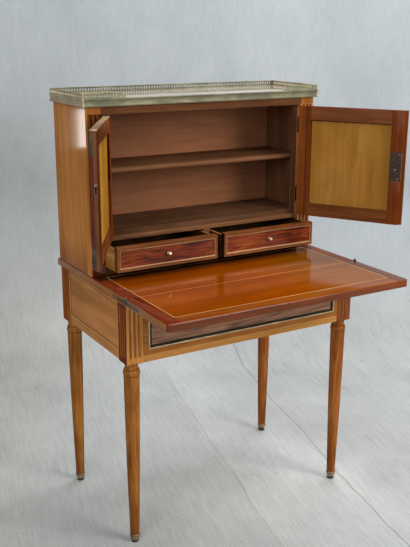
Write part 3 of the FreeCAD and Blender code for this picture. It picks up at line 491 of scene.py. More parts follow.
def round_steps(r0, z0, r1, z1, bulge, count):
    """Steps of a bead (bulge > 0) or a hollow (bulge < 0) between two (radius, height) points."""
    steps = []
    for k in range(count + 1):
        t = k / count
        swell = bulge * math.sin(math.pi * t) ** 0.8
        steps.append((r0 + (r1 - r0) * t + swell, z0 + (z1 - z0) * t))
    return steps


def rod(radius_mm, start, end, sides):
    """A round rod between two points, in millimetres."""
    nothing_selected()
    a, b = Vector(start), Vector(end)
    bpy.ops.mesh.primitive_cylinder_add(vertices=sides, radius=mm(radius_mm), depth=mm((b - a).length),
                                        location=(a + b) / 2000.0)
    obj = bpy.context.object
    obj.rotation_mode = "QUATERNION"
    obj.rotation_quaternion = (b - a).to_track_quat("Z", "Y")
    settle(obj)
    return obj


def pin_of(side):
    """Foot of a door's hinge line."""
    return Vector((mm(-PIN_X if side == "left" else PIN_X), mm(PIN_Y), 0))


def swung(obj, side):
    """Turn a piece drawn on a closed door to where the open door stands."""
    angle = math.radians(-LEFT_OPEN if side == "left" else RIGHT_OPEN)
    pin = pin_of(side)
    obj.matrix_world = Matrix.Translation(pin) @ Matrix.Rotation(angle, 4, "Z") @ Matrix.Translation(-pin)
    settle(obj)
    return obj


def closed_door_place(side):
    """Turn and shift that take a point on the open door back to the closed door, for patterns."""
    angle = math.radians(LEFT_OPEN if side == "left" else -RIGHT_OPEN)
    pin = pin_of(side)
    return angle, tuple(pin - Matrix.Rotation(angle, 3, "Z") @ pin)


def finished(obj, name, body, material, replaces=(), smooth=35.0):
    """Name a piece, shade it, give it its finish and the body that it rides on."""
    obj.name = name
    obj.data.name = name
    obj.data.materials.clear()
    obj.data.materials.append(material)
    only(obj)
    bpy.ops.object.shade_smooth_by_angle(angle=math.radians(smooth))
    nothing_selected()
    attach(obj, body)
    if replaces:
        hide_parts(*replaces)
    return obj


def carried_over(node):
    """A merged copy of a CAD node, with its flat faces in one piece again."""
    source = NODES[node]
    obj = source.copy()
    obj.data = source.data.copy()
    obj.parent = None
    for key in list(obj.keys()):
        del obj[key]
    bpy.context.scene.collection.objects.link(obj)
    only(obj)
    bpy.ops.object.mode_set(mode="EDIT")
    bpy.ops.mesh.select_all(action="SELECT")
    bpy.ops.mesh.remove_doubles(threshold=mm(0.01))
    bpy.ops.mesh.dissolve_limited(angle_limit=math.radians(0.5))
    bpy.ops.object.mode_set(mode="OBJECT")
    return obj


def board(node, body, material, ease_mm=0.8):
    """A CAD piece with its arrises broken; its broad faces stay dead flat."""
    obj = eased(carried_over(node), ease_mm)
    return finished(obj, node + "_board", body, material, (node,), smooth=25.0)


def plain_finish(node, material):
    """A CAD piece that keeps its shape and takes a finish."""
    mesh = NODES[node].data
    mesh.materials.clear()
    mesh.materials.append(material)


def screw_head(x, y, z, axis):
    """Countersunk screw with a slot; its head stands just proud of a plate that faces along the axis."""
    out = Vector(axis)
    middle = Vector((x, y, z))
    head = eased(rod(2.4, middle - out * 0.6, middle + out * 0.3, 20), 0.2, 1)
    across = Vector((0, 0, 1)).cross(out)
    half_slot = Vector((0, 0, 0.35))
    low = middle - out * 0.05 - across * 4.0 - half_slot
    high = middle + out * 1.0 + across * 4.0 + half_slot
    pairs = [sorted(pair) for pair in zip(low, high)]
    return cut(head, [block([pair[0] for pair in pairs], [pair[1] for pair in pairs])])


# ================================================================ finishes
# dark, middle and light tone of each wood
# - legs and posts
LEG = ("#78461B", "#986029", "#AE753A")
LEG_RIGHT = ("#703C17", "#8F5324", "#A46633")       # the two right legs
# front faces of the posts: painted light and shade, toned by the way they face
POST_FRONT = ("#A0672E", "#B87A3E", "#CA8C4F")
POST_FRONT_RIGHT = ("#6B3717", "#7B4321", "#894D2A")
SHADED_POST_SIDE = ("#5C2508", "#6B2D0E", "#763513")       # left face of the front left post: painted shade
POST_SIDE_REAR = ("#76390F", "#894417", "#974F1E")  # of the rear left post: painted shade
FLUTE_FRONT_SHADE = ("#704824", "#855931", "#96673B")     # painted shade in the flutes of the front faces
RECESS_SHADE = ("#5C3816", "#6E4520", "#7E5229")      # painted shade in flutes, beside rings and beside mouldings
# - aprons and rails
APRON = ("#9C6634", "#B57843", "#C78B54")           # side aprons
HONEY = ("#804C1C", "#935A26", "#A36832")           # back apron, upper rail, heads of the pilasters
HONEY_PALE = ("#96652C", "#AC783A", "#BC8847")      # lower rail of the apron
EBONISED = ("#221C14", "#30281C", "#403628")        # dark band round the field of the long drawer
LONG_FIELD = ("#5E4032", "#8A644E", "#A67C62")
# - outside of the cabinet
CABINET_SIDE = ("#986127", "#B07133", "#C18141")
PILASTER = ("#985F3E", "#B3744C", "#CA895E")        # the right one
DOOR_SHADOWED_PILASTER = ("#401706", "#4E200A", "#5D2A0F")   # the left one: painted shadow of its open door
# upper rail of the cabinet: painted shade under the brass band
SHADED_TOP_RAIL = ("#4C2D19", "#613D25", "#764F32")
CROWN = ("#877B69", "#9F9482", "#B5AD9C")           # grey: painted reflection of the wall
# - fixed top and flap
TOP_FIELD = ("#733D00", "#7F4501", "#8D5102")       # orange, well polished
TOP_BAND = ("#50180A", "#632310", "#742F16")        # darker band at the left end
TOP_BAND_RIGHT = ("#5A2A10", "#6C381A", "#7C4424")
TOP_FRONT_BAND = ("#662A08", "#783A0C", "#884812")
FRONT_EDGE = ("#512005", "#662E0C", "#793C14")
WORN_EDGE = ("#75461C", "#8D5827", "#A26A34")       # the two end edges
SEAM_HIGHLIGHT = ("#B06C28", "#C07C38", "#CC8A48")      # painted highlight on the arrises at the seam
SHADOW_UNDER_DRAWERS = ("#2A110A", "#36180E", "#442214")      # painted shadow on the top in front of the plinth, under the drawers
SHADOW_RIM_UNDER_DRAWERS = ("#5A2A0A", "#68340E", "#763E14")        # soft rim of that painted shadow
# - doors
RED = ("#57260D", "#6A3211", "#7C3D18")
RED_LOW = ("#532B14", "#67391B", "#794825")         # bottom rail
RED_RAIL = ("#603620", "#754529", "#895435")        # top rail
HINGE_STRIP = ("#6A3514", "#7C421B", "#8C5024")     # next to the hinges
DARK_EDGE = ("#1C1614", "#2A211E", "#382C26")       # line beside that strip
PALE_TOP_EDGE = ("#6E5642", "#93795D", "#B8A484")      # top edge of the left door
REBATE_SHADE = ("#4C221F", "#622F29", "#7A4036")    # meeting edge: painted shade in its rebate
# inner face of the left door's meeting stile: painted shade
SHADED_MEETING_STILE = ("#3C180A", "#4E2210", "#602C16")
DOOR_LIP = ("#503018", "#62402A", "#724C34")
GOLD = ("#8E6326", "#9E702F", "#AC7E3D")            # satinwood panel
GOLD_LEFT = ("#8B5F1C", "#9A6C23", "#A8792F")
PANEL_EDGE_SHADE = ("#3E2A10", "#4E3616", "#5E441E")       # painted shade in the corner against the frame
# - inside of the cabinet and small drawers
INSIDE = ("#4E3221", "#62402B", "#704C35")          # uprights
PLINTH_SHADE = ("#352010", "#442916", "#54341E")     # plinth: painted shade under the drawers
BACK = ("#83543B", "#8B5B40", "#926243")
FLOOR = ("#482E1C", "#593C28", "#6C4937")
SHELF = ("#5C3D28", "#714C33", "#82593C")
FIERY = ("#371006", "#682508", "#944511")           # figured fields of the small drawers
BORDER = ("#5C2F11", "#6F3E19", "#814D26")          # cross-grained borders round them
SHADED_END_GRAIN = ("#24120A", "#301A10", "#3C2416")       # end grain of the right drawer front, with painted shade of the gap
LINING = ("#90602E", "#AD7840", "#C48D52")          # oak
LINING_SHADE = ("#2A1C0E", "#382614", "#48341E")     # painted shade on the oak
BOXWOOD = ("#B07E40", "#C08E4E", "#CE9C5C")         # lines in the top and on the aprons
# clean and toned tone of the brass fillets
DULL_LINE = ("#A88058", "#7C5C38")
LIT_FOOT_LINE = ("#D8B48C", "#C4A078")                # along their foot: painted highlight

# Legs, turned and planed, then French polished: short streaks and a satin shine; painted light and
# shade on the faces of the posts, painted shade in the flutes, beside the rings and on the outer left
# of the left legs, and greyer towards the feet.
post_front = POST_FRONT_Y - POST / 2
post_left = -POST_MID_X - POST / 2
fluted_half = POST / 2 - 1.5
front_skin = ("Y", post_front - 1.0, post_front + 0.6)
front_flutes = ("Y", post_front + 0.7, post_front + 6.0)
left_skin = ("X", post_left - 1.0, post_left + 0.6)
post_height = ("Z", APRON_Z, POST_TOP_Z)
post_faces = [([("X", x - fluted_half, x + fluted_half), front_flutes, post_height], FLUTE_FRONT_SHADE, "Z")
              for x in (-POST_MID_X, POST_MID_X)]
post_faces += [([front_skin, post_height, ("X", -BEYOND, 0.0)], POST_FRONT, "Z"),
               ([front_skin, post_height, ("X", 0.0, BEYOND)], POST_FRONT_RIGHT, "Z"),
               ([left_skin, post_height], SHADED_POST_SIDE, "Z"),
               ([left_skin, post_height, ("Y", 200.0, BEYOND)], POST_SIDE_REAR, "Z")]
right_legs = [([("X", 0.0, BEYOND)], LEG_RIGHT, "Z")]
ring_lines = [APRON_Z - 39.4, APRON_Z - 20.9, APRON_Z - 4.6]   # painted shade lines below and above the collar, under the head
rings = [([("Z", z, z + 1.8)], RECESS_SHADE, "Z") for z in ring_lines]
grey_feet = ("Z", 220.0, 40.0, "#CEC5C5")
# painted shade: darker on the outer left of the left legs
painted_shade_outside = ("X", -354.0, -372.0, "#E2DBD7")
mahogany_upright = wood("french_polished_mahogany_upright", LEG, "Z", right_legs + post_faces + rings,
                        polish=SATIN, figure_mm=15.0, curl=1.2, soil=[grey_feet, painted_shade_outside])

# Cabinet sides, sawn wide and French polished: a quiet broad figure under a clear skin that gives the
# window back as one sharp shine; darker and greyer at the foot, and dull on the inside.
inner_skin = ([("X", -SIDE_IN_X - 1.0, SIDE_IN_X + 1.0)], INSIDE, "Z")
grey_foot = ("Z", TOP_Z + 90.0, TOP_Z + 10.0, "#DAD1EC")
mahogany_side = wood("french_polished_mahogany_cabinet_side", CABINET_SIDE, "Z", [inner_skin],
                     polish=CLEAR, figure_mm=70.0, soil=[grey_foot])

# Side aprons, French polished: a fair field inside a painted shade line beside its moulding.
apron_line = [("Y", *APRON_FIELD_Y), ("Z", *APRON_FIELD_Z)]
rim = 4.0 + 1.8               # the moulding and the line beside it
apron_field = [(axis, low + rim, high - rim) for axis, low, high in apron_line]
mahogany_deep = wood("french_polished_mahogany_front_to_back", APRON, "Y",
                     [(apron_line, RECESS_SHADE, "Y"), (apron_field, APRON, "Y")], figure_mm=60.0)

# Rails and the back apron, French polished: honey brown, streaked along their length, softly glossy.
mahogany_wide = wood("french_polished_mahogany_wide", HONEY, "X")
rail_wood = wood("pale_mahogany_rail", HONEY_PALE, "X")
# The rail under the crown is darker: painted shade from the band above.
top_rail_wood = wood("shaded_mahogany_top_rail", SHADED_TOP_RAIL, "X")

# Pilasters, fluted and French polished: the right one warm and fair, the left one painted nearly black
# as the shadow of its open door, both with painted shade in the flutes, a honey block at the head and
# a soft gloss.
pilaster_parts = [([("Y", PILASTER_FRONT_Y + 0.7, PILASTER_FRONT_Y + 6.0),
                    ("Z", TOP_Z + 20.0, CROWN_Z0 - 18.0)], RECESS_SHADE, "Z"),
                  ([("Z", CROWN_Z0 - 20.0, CROWN_Z0)], HONEY, "Z")]
# the left pilaster's outer face keeps the cabinet side's tones, outside the painted shadow
outer_face = ([("X", PILASTER_X0 - 1.0, PILASTER_X0 + 6.0)], CABINET_SIDE, "Z")
pilaster_wood = wood("french_polished_mahogany_pilaster", PILASTER, "Z", pilaster_parts)
shaded_pilaster_wood = wood("door_shadowed_mahogany_pilaster", DOOR_SHADOWED_PILASTER, "Z", pilaster_parts + [outer_face],
                            polish=CLEAR)

# Crowning board, French polished and so smooth that it mirrors the wall behind it; its grey is a
# painted reflection of that wall.
crown_wood = wood("mirror_polished_mahogany_crown", CROWN, "X", polish=MIRROR)

# Inside of the cabinet, planed mahogany with one thin coat of polish: even brown, hardly a shine.
back_wood = wood("dull_mahogany_back", BACK, "X", polish=DULL, figure_mm=18.0, curl=0.6)
floor_wood = wood("dull_mahogany_floor", FLOOR, "X", polish=DULL, figure_mm=40.0)
inside_wide = wood("dull_mahogany_shelf", SHELF, "X", polish=DULL, figure_mm=40.0, curl=1.5)
inside_upright = wood("dull_mahogany_inside_upright", INSIDE, "Z", polish=DULL)
# The plinth is painted dark as shade under the drawers.
plinth_wood = wood("shaded_mahogany_plinth", PLINTH_SHADE, "X", polish=DULL)

# Oak of the long drawer, planed and waxed: pale and straight, with no gloss at all.
lining_deep = wood("waxed_oak_drawer_sides", LINING, "Y", polish=BARE, figure_mm=26.0, curl=0.4)

# Boxwood lines, scraped flush and polished with the top: thin yellow strokes that shine as it does.
light_line = wood("boxwood_line", BOXWOOD, "X", polish=SHINING)

# Cast brass, chased and left to tone: a greenish grey skin with half of its metal still glinting, on
# the band and the gallery, with side strips painted paler as painted light, and on the door mouldings.
strip_x = CROWN_HALF_X + 3.5  # middle of the side strips of the band
lit_side_strips = [([("X", x - 3.6, x + 3.6)], "#BAAC8E", "#A6997F") for x in (-strip_x, strip_x)]
brass = aged_brass("toned_brass", "#8A8568", "#78765F", 0.6, 0.5)
band_brass = aged_brass("toned_brass_strips", "#7C775E", "#6A6854", 0.6, 0.5, lit_side_strips)

# Brass shoes, turned: worn to a warm shine by brooms, dark at the sole, with a painted highlight on the
# bead.
lit_shoe_bead = ([("Z", 13.0, 18.2)], "#C0AE8C", "#968866")
shoe_sole = ([("Z", -1.0, 5.0)], "#4E4838", "#3A362C")
shoe_brass = aged_brass("worn_shoe_brass", "#A08E6E", "#6E6450", 0.45, zones=[lit_shoe_bead, shoe_sole])

# Rolled brass plates, filed flat: brown or nearly black where oil and dirt lie, hardly a glint.
hinge_brass = aged_brass("dull_hinge_brass", "#66624E", "#484638", 0.58, 0.5)
edge_brass = aged_brass("browned_hinge_brass", "#7A6850", "#564836", 0.58, 0.45)
blackened_brass = aged_brass("blackened_brass_plates", "#4C4638", "#322C24", 0.6, 0.08)

# Brass under hands and dusters, cast or drawn: yellow and bright, with small sharp lights.
drawer_brass = aged_brass("rubbed_drawer_moulding", "#C8B490", "#A4906E", 0.42, 0.55)
brass_bright = aged_brass("rubbed_brass", "#E6D4B4", "#C4AC84", 0.28)
brass_line = aged_brass("brass_line", "#B08C62", "#84683F", 0.42)

# Iron of the locks, filed: brown and pitted on the case, grey on the strike, rubbed bright on the pin.
iron = browned_iron("browned_iron", ("#3A322E", "#4C3E38", "#604834"))
strike_iron = browned_iron("worn_strike_iron", ("#3E302A", "#6A574C", "#A08E80"))
bright_steel = browned_iron("rubbed_steel", ("#8E8A88", "#B4B0AC", "#A89C90"))


# ================================================================ legs and shoes
def leg_profile():
    """Foot, swelling taper, fillet, collar, fillet and hollow neck, from the floor up."""
    z = APRON_Z
    ankle, ankle_z = 13.1, 26.0
    thigh, thigh_z = 22.0, z - 38.5
    swell = 1.15
    steps = [(9.4, 2.2), (ankle, ankle_z)]
    for k in range(1, 17):
        t = k / 16.0
        radius = ankle + (thigh - ankle) * t + swell * math.sin(math.pi * t)
        steps.append((radius, ankle_z + (thigh_z - ankle_z) * t))
    steps += [(21.0, z - 38.0)]
    steps += round_steps(21.0, z - 37.8, 21.0, z - 22.2, 2.6, 10)
    steps += [(21.0, z - 19.2), (18.6, z - 19.0)]
    steps += round_steps(18.5, z - 18.6, 20.0, z - 4.0, -1.0, 8)
    steps += [(20.0, z + 1.0)]
    return steps


def flute_cutter(x, y, z0, z1, radius):
    """Gouge cut with round ends."""
    quarter = [math.pi / 2 * k / 5 for k in range(6)]
    steps = [(max(0.2, radius * math.sin(a)), z0 + radius * (1 - math.cos(a))) for a in quarter]
    steps += [(max(0.2, radius * math.cos(a)), z1 - radius + radius * math.sin(a)) for a in quarter]
    return turned(steps, x, y, 16)


def fluted_post(x, y, outward_x, show_front):
    """Square head of a leg with three stopped flutes on each outer face."""
    half = POST / 2
    post = eased(block((x - half, y - half, APRON_Z), (x + half, y + half, POST_TOP_Z)), 1.0, 1)
    z0, z1 = APRON_Z + 17, POST_TOP_Z - 10
    cutters = []
    for step in (-FLUTE_STEP, 0.0, FLUTE_STEP):
        cutters.append(flute_cutter(x + outward_x * (half + 1.0), y + step, z0, z1, 3.8))
        if show_front:
            cutters.append(flute_cutter(x + step, y - half - 1.0, z0, z1, 3.8))
    return cut(post, cutters)


def shoe_profile():
    """Cup of the shoe with a thin bead, and a ring round its rim."""
    steps = [(9.6, 0.0), (10.4, 0.5), (12.6, 13.0), (13.2, 15.5), (13.9, 16.0), (13.9, 17.4), (13.5, 17.9)]
    steps += round_steps(13.7, 19.0, 13.7, 25.0, 1.2, 6)
    steps += [(13.2, 25.2)]
    return steps


def make_legs():
    """Four legs, each a square head on one turned taper, and their brass shoes."""
    taper = turned(leg_profile(), 0, 0)
    shoe = turned(shoe_profile(), 0, 0, 40)
    shoes = []
    for row, y in (("front", POST_FRONT_Y), ("rear", POST_REAR_Y)):
        for side, way in (("left", -1), ("right", 1)):
            x = way * POST_MID_X
            leg = joined([fluted_post(x, y, way, row == "front"), copied(taper, (x, y, 0))])
            name = row + "_" + side
            finished(leg, "turned_leg_" + name, "carcase", mahogany_upright, ("leg_" + name,))
            shoes.append(copied(shoe, (x, y, 0)))
    finished(joined(shoes), "brass_shoes", "carcase", shoe_brass, ("sabots",))
    bpy.data.objects.remove(taper)
    bpy.data.objects.remove(shoe)


def make_pilasters():
    """Fluted fronts of the cabinet sides, with plain blocks at head and foot."""
    front = PILASTER_FRONT_Y
    post = block((PILASTER_X0, front, TOP_Z), (PILASTER_X1, front + PILASTER_T, CROWN_Z0))
    eased(post, 0.8, 1)
    middle = (PILASTER_X0 + PILASTER_X1) / 2
    cutters = [flute_cutter(middle + step, front - 1.2, TOP_Z + 27, CROWN_Z0 - 20, 4.2)
               for step in (-FLUTE_STEP, 0.0, FLUTE_STEP)]
    for z in HINGE_MIDDLES_Z:
        cutters.append(rod(4.4, (-PIN_X, PIN_Y, z - KNUCKLE_ROOM), (-PIN_X, PIN_Y, z + KNUCKLE_ROOM), 24))
    left = cut(post, cutters)
    right = copied(left, flip_x=True)
    finished(left, "fluted_pilaster_left", "carcase", shaded_pilaster_wood, ("pilaster_left",))
    finished(right, "fluted_pilaster_right", "carcase", pilaster_wood, ("pilaster_right",))


# ================================================================ brass band and gallery
BAND_OUTLINE = [(0.0, 0.0), (4.0, 0.0), (4.9, 0.7), (5.3, 1.7), (4.9, 2.7), (4.0, 3.4), (3.2, 6.0),
                (2.8, 9.5), (3.1, 13.5), (4.0, 17.2), (5.2, 17.9), (5.8, 19.7), (5.2, 21.4), (4.0, 22.0),
                (0.0, 22.0)]


def make_band():
    """Moulded brass round the crowning board: one outline drawn round three sides, mitred."""
    route = [(-CROWN_HALF_X, CROWN_BACK_Y, (-1, 0)), (-CROWN_HALF_X, CROWN_FRONT_Y, (-1, -1)),
             (CROWN_HALF_X, CROWN_FRONT_Y, (1, -1)), (CROWN_HALF_X, CROWN_BACK_Y, (1, 0))]
    nothing_selected()
    bpy.ops.mesh.primitive_circle_add(vertices=len(BAND_OUTLINE), radius=0.01, fill_type="NGON")
    obj = bpy.context.object
    for k, (x, y, out) in enumerate(route):
        if k > 0:
            bpy.ops.object.mode_set(mode="EDIT")
            if k == 1:
                bpy.ops.mesh.select_all(action="SELECT")
            bpy.ops.mesh.extrude_region_move()
            bpy.ops.object.mode_set(mode="OBJECT")
        section = sorted((v for v in obj.data.vertices if v.select or k == 0), key=lambda v: v.index)
        for vertex, (reach, up) in zip(section, BAND_OUTLINE):
            vertex.co = (mm(x + out[0] * reach), mm(y + out[1] * reach), mm(CROWN_Z0 + up))
    outward(obj)
    finished(obj, "moulded_brass_band", "carcase", band_brass, ("brass_band",), smooth=30.0)


def gallery_bay():
    """One bay of the gallery: a plate with an upright slot, round at both ends."""
    plate = block((0, -0.8, 0), (BAY, 0.8, GALLERY_H - 3.0))
    radius = 2.3
    low, high = 3.4 + radius, GALLERY_H - 4.6 - radius
    for z in (low, high):
        cut(plate, [rod(radius, (BAY / 2, -3, z), (BAY / 2, 3, z), 12)])
    return cut(plate, [block((BAY / 2 - radius, -3, low), (BAY / 2 + radius, 3, high))])


def gallery_run(length):
    """A run of bays along +X from the origin, with a foot strip and a half-round rail."""
    count = int((length - 8.0) / BAY)
    start = (length - count * BAY) / 2
    bay = gallery_bay()
    row = bay.modifiers.new("bays", "ARRAY")
    row.count = count
    row.use_relative_offset = False
    row.use_constant_offset = True
    row.constant_offset_displace = (mm(BAY), 0, 0)
    row.use_merge_vertices = True
    row.merge_threshold = mm(0.02)
    only(bay)
    bpy.ops.object.modifier_apply(modifier=row.name)
    moved_to(bay, start, 0, 0)
    ends = [block((0, -0.8, 0), (start, 0.8, GALLERY_H - 3.0)),
            block((length - start, -0.8, 0), (length, 0.8, GALLERY_H - 3.0))]
    rail = rod(1.5, (0, 0, GALLERY_H - 1.6), (length, 0, GALLERY_H - 1.6), 12)
    foot = eased(block((0, -1.3, 0), (length, 1.3, 1.6)), 0.4, 1)
    return joined([bay, rail, foot] + ends)


def volute(centre_x, centre_z, radius, start, sweep, width, thick):
    """A flat strip bent round a centre, closing in as it goes."""
    def stand(t):
        """Where the strip's section stands after a part t of the sweep."""
        angle = start + sweep * t
        reach = radius * (1.0 - 0.55 * t)
        place = Matrix.Translation((mm(centre_x + reach * math.cos(angle)), 0,
                                    mm(centre_z + reach * math.sin(angle))))
        return place @ Matrix.Rotation(-angle, 4, "Y")

    nothing_selected()
    bpy.ops.mesh.primitive_plane_add(size=1.0)
    obj = bpy.context.object
    obj.scale = (mm(thick), mm(width), 1.0)
    settle(obj)
    section = [v.co.copy() for v in obj.data.vertices]
    steps = 18
    for k in range(steps + 1):
        if k > 0:
            bpy.ops.object.mode_set(mode="EDIT")
            bpy.ops.mesh.extrude_region_move()
            bpy.ops.object.mode_set(mode="OBJECT")
        moved = sorted((v for v in obj.data.vertices if v.select), key=lambda v: v.index)
        for vertex, co in zip(moved, section):
            vertex.co = stand(k / steps) @ co
    return outward(obj)


def scroll():
    """S-scroll that ends a front return: a large volute above, a small one at its foot."""
    upper = volute(0.0, GALLERY_H - 6.2, 5.4, math.radians(90), math.radians(-430), 2.4, 1.5)
    stem = volute(9.6, 5.2, 5.0, math.radians(170), math.radians(300), 2.4, 1.5)
    eye = rod(1.5, (0.6, -1.3, GALLERY_H - 6.4), (0.6, 1.3, GALLERY_H - 6.4), 12)
    low_eye = rod(1.3, (9.8, -1.3, 4.6), (9.8, 1.3, 4.6), 12)
    tie = eased(block((-6.0, -1.3, 0), (15.0, 1.3, 1.4)), 0.4, 1)
    return joined([upper, stem, eye, low_eye, tie])


def make_gallery():
    """Gallery round the back and the sides, and a scrolled return at each end of the front."""
    back = gallery_run(2 * GALLERY_HALF_X - 4.0)
    moved_to(back, -GALLERY_HALF_X + 2.0, GALLERY_BACK_Y, CROWN_Z1)
    side_front_y = GALLERY_FRONT_Y + 0.6
    side = gallery_run(CROWN_BACK_Y - 1.0 - side_front_y)
    side.rotation_euler = (0, 0, math.radians(90))
    moved_to(side, -GALLERY_HALF_X, side_front_y, CROWN_Z1)
    other = copied(side, flip_x=True)
    finished(joined([back, side, other]), "pierced_gallery", "carcase", band_brass, ("gallery",))
    left = joined([gallery_run(RETURN_L), moved_to(scroll(), RETURN_L + 2.0, 0, 0)])
    moved_to(left, -GALLERY_HALF_X + 2.0, GALLERY_FRONT_Y, CROWN_Z1)
    right = copied(left, flip_x=True)
    finished(joined([left, right]), "scrolled_front_returns", "carcase", brass,
             ("gallery_front_returns",))


# ================================================================ drawers
def knob_profile():
    """Rose, waist and round head, from the drawer front outwards."""
    steps = [(5.0, 0.0), (5.0, 0.8), (4.5, 1.4), (3.0, 2.2), (2.4, 3.4), (2.6, 4.6)]
    for k in range(0, 11):
        a = math.radians(-58 + 148 * k / 10)
        steps.append((max(0.3, 6.4 * math.cos(a)), 9.0 + 5.4 * math.sin(a)))
    return steps


def make_knobs():
    """A turned knob in the middle of each small drawer's front."""
    for side in ("left", "right"):
        low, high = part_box("small_drawer_" + side + "_front")
        knob = turned(knob_profile(), 0, 0, 32)
        knob.rotation_euler = (math.radians(90), 0, 0)
        knob.location = ((low.x + high.x) / 2, low.y + mm(FIELD_SUNK), (low.z + high.z) / 2)
        settle(knob)
        finished(knob, "brass_knob_" + side, "small_drawer_" + side, brass_bright,
                 ("small_drawer_" + side + "_knob",))


def box_mm(node):
    """Low and high corner of a CAD piece, in millimetres."""
    return [tuple(value * 1000 for value in corner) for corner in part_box(node)]


def field_limits(node, margin_x, margin_z):
    """The part of a drawer front that lies inside its margins."""
    (x0, _, z0), (x1, _, z1) = box_mm(node)
    return [("X", x0 + margin_x, x1 - margin_x), ("Z", z0 + margin_z, z1 - margin_z)]


def make_small_drawers():
    """French-polished fronts, fiery in the field and plain round it; waxed oak linings, with painted shade
    inside.
    """
    for side in ("left", "right"):
        body = "small_drawer_" + side
        front_node, box_node, line_node = body + "_front", body + "_box", body + "_stringing"

        veneers = [(field_limits(front_node, 9.0, 10.0), FIERY, "X")]
        (x0, _, _), _ = box_mm(front_node)
        if side == "right":      # its end shows in the gap between the drawers: end grain with painted shade
            veneers += [([("X", x0 - 1.0, x0 + 0.9)], SHADED_END_GRAIN, "Z")]
        front = wood("figured_mahogany_front_" + side, BORDER, "X", veneers, figure_mm=16.0, curl=3.0)
        board(front_node, body, front, 0.4)

        (x0, y0, _), (x1, y1, _) = box_mm(box_node)
        # painted shade inside the drawer
        painted_shading = [([("X", x0 + 5.0, x1 - 5.0), ("Y", y0 + 1.0, y1 - 5.0)], LINING_SHADE, "Y")]
        if side == "right":      # painted shade on the side beside the divider
            painted_shading += [([("X", x0 - 1.0, x0 + 0.9)], LINING_SHADE, "Y")]
        lining = wood("waxed_oak_drawer_" + side, LINING, "Y", painted_shading, polish=BARE, figure_mm=26.0, curl=0.4)
        board(box_node, body, lining, 0.5)

        # brass fillet round the field: toned, with a painted highlight along its foot
        (_, _, z0), _ = box_mm(line_node)
        rubbed = [([("Z", z0 - 1.0, z0 + 2.4)], *LIT_FOOT_LINE)]
        plain_finish(line_node, aged_brass("brass_fillet_" + side, *DULL_LINE, 0.42, 0.5, rubbed))


def make_long_drawer():
    """Front with a dark ebonised band round its brown field, bright moulding, oak box and lock."""
    node = "long_drawer_front"
    dark_band = (field_limits(node, 16.0, 16.0), EBONISED, "X")
    middle = (field_limits(node, 26.0, 26.0), LONG_FIELD, "X")
    front = wood("ebonised_and_mahogany_front", HONEY, "X", [dark_band, middle], figure_mm=20.0, curl=2.0)
    board(node, "long_drawer", front, 0.6)
    board("long_drawer_box", "long_drawer", lining_deep, 0.5)
    board("long_drawer_moulding", "long_drawer", drawer_brass, 0.9)
    plain_finish("long_drawer_lock", iron)
    plain_finish("long_drawer_lock_bolt", iron)


# ================================================================ doors
def door_woods(side):
    """Woods of a door: a red frame dulled by hands, and a quiet golden satinwood panel with its knots.

    The zones of the rails turn their grain across; all places are those of the closed door.
    """
    place = closed_door_place(side)
    if side == "left":
        low, high = -PANEL_OUT_X, -PANEL_IN_X
    else:
        low, high = PANEL_IN_X, PANEL_OUT_X
    panel_head = DOOR_HEAD_Z - DOOR_RAIL
    rails = [([("X", low, high), ("Z", DOOR_FOOT_Z, DOOR_FOOT_Z + DOOR_RAIL)], RED_LOW, "X"),
             ([("X", low, high), ("Z", panel_head, DOOR_HEAD_Z)], RED_RAIL, "X")]
    if side == "left":       # pale top edge; painted shade on the meeting edge's rebate and on the meeting stile
        rails += [([("Z", DOOR_HEAD_Z - 0.7, DOOR_HEAD_Z + 4.0)], PALE_TOP_EDGE, "X"),
                  ([("X", LEFT_EDGE_X - 1.0, 0.5), ("Y", 100.0, 119.2)], REBATE_SHADE, "Z"),
                  ([("X", 7.0, 8.4), ("Y", 119.4, DOOR_FACE_Y + 0.4)], DOOR_LIP, "Z"),
                  ([("X", -46.0, 6.0), ("Y", DOOR_FACE_Y - 1.0, DOOR_FACE_Y + 0.4),
                    ("Z", DOOR_FOOT_Z + 2.0, DOOR_HEAD_Z - 6.0)], SHADED_MEETING_STILE, "Z")]
        knots = [(-196.0, 1106.0, 3.0)]
        gold = GOLD_LEFT
    else:                    # strip next to the hinges, with the fine line that parts it off
        line_x = 308.0
        rails += [([("X", line_x, line_x + 32.0)], HINGE_STRIP, "Z"),
                  ([("X", line_x - 1.2, line_x + 0.4)], DARK_EDGE, "Z")]
        knots = [(158.0, 1012.0, 3.4), (236.0, 948.0, 2.0)]
        gold = GOLD
    frame_wood = wood("mahogany_door_frame_" + side, RED, "Z", rails, polish=HANDLED, place=place)
    # painted shade along the panel's edges against the frame
    corner_shade = [([("Z", panel_head - 4.0, panel_head + 14.0)], PANEL_EDGE_SHADE, "Z"),
                   ([("X", high - 2.0, high + 10.0)], PANEL_EDGE_SHADE, "Z")]
    panel_y = PILASTER_FRONT_Y + 12.0
    spots = [(x, panel_y, z, radius) for x, z, radius in knots]
    panel_wood = wood("satinwood_panel_" + side, gold, "Z", corner_shade, place=place, figure_mm=34.0,
                      curl=0.3, spots=spots)
    return frame_wood, panel_wood


def flush_bolt_plate(z0, z1):
    """Narrow plate let into the meeting edge of the left door, with a slot for the thumb."""
    plate = eased(block((LEFT_EDGE_X - 1.6, 110.4, z0), (LEFT_EDGE_X + 0.25, 118.8, z1)), 0.2, 1)
    middle = (z0 + z1) / 2
    slot = block((LEFT_EDGE_X + 0.08, 113.8, middle - 12.0), (LEFT_EDGE_X + 2.0, 115.4, middle + 12.0))
    return cut(plate, [slot])


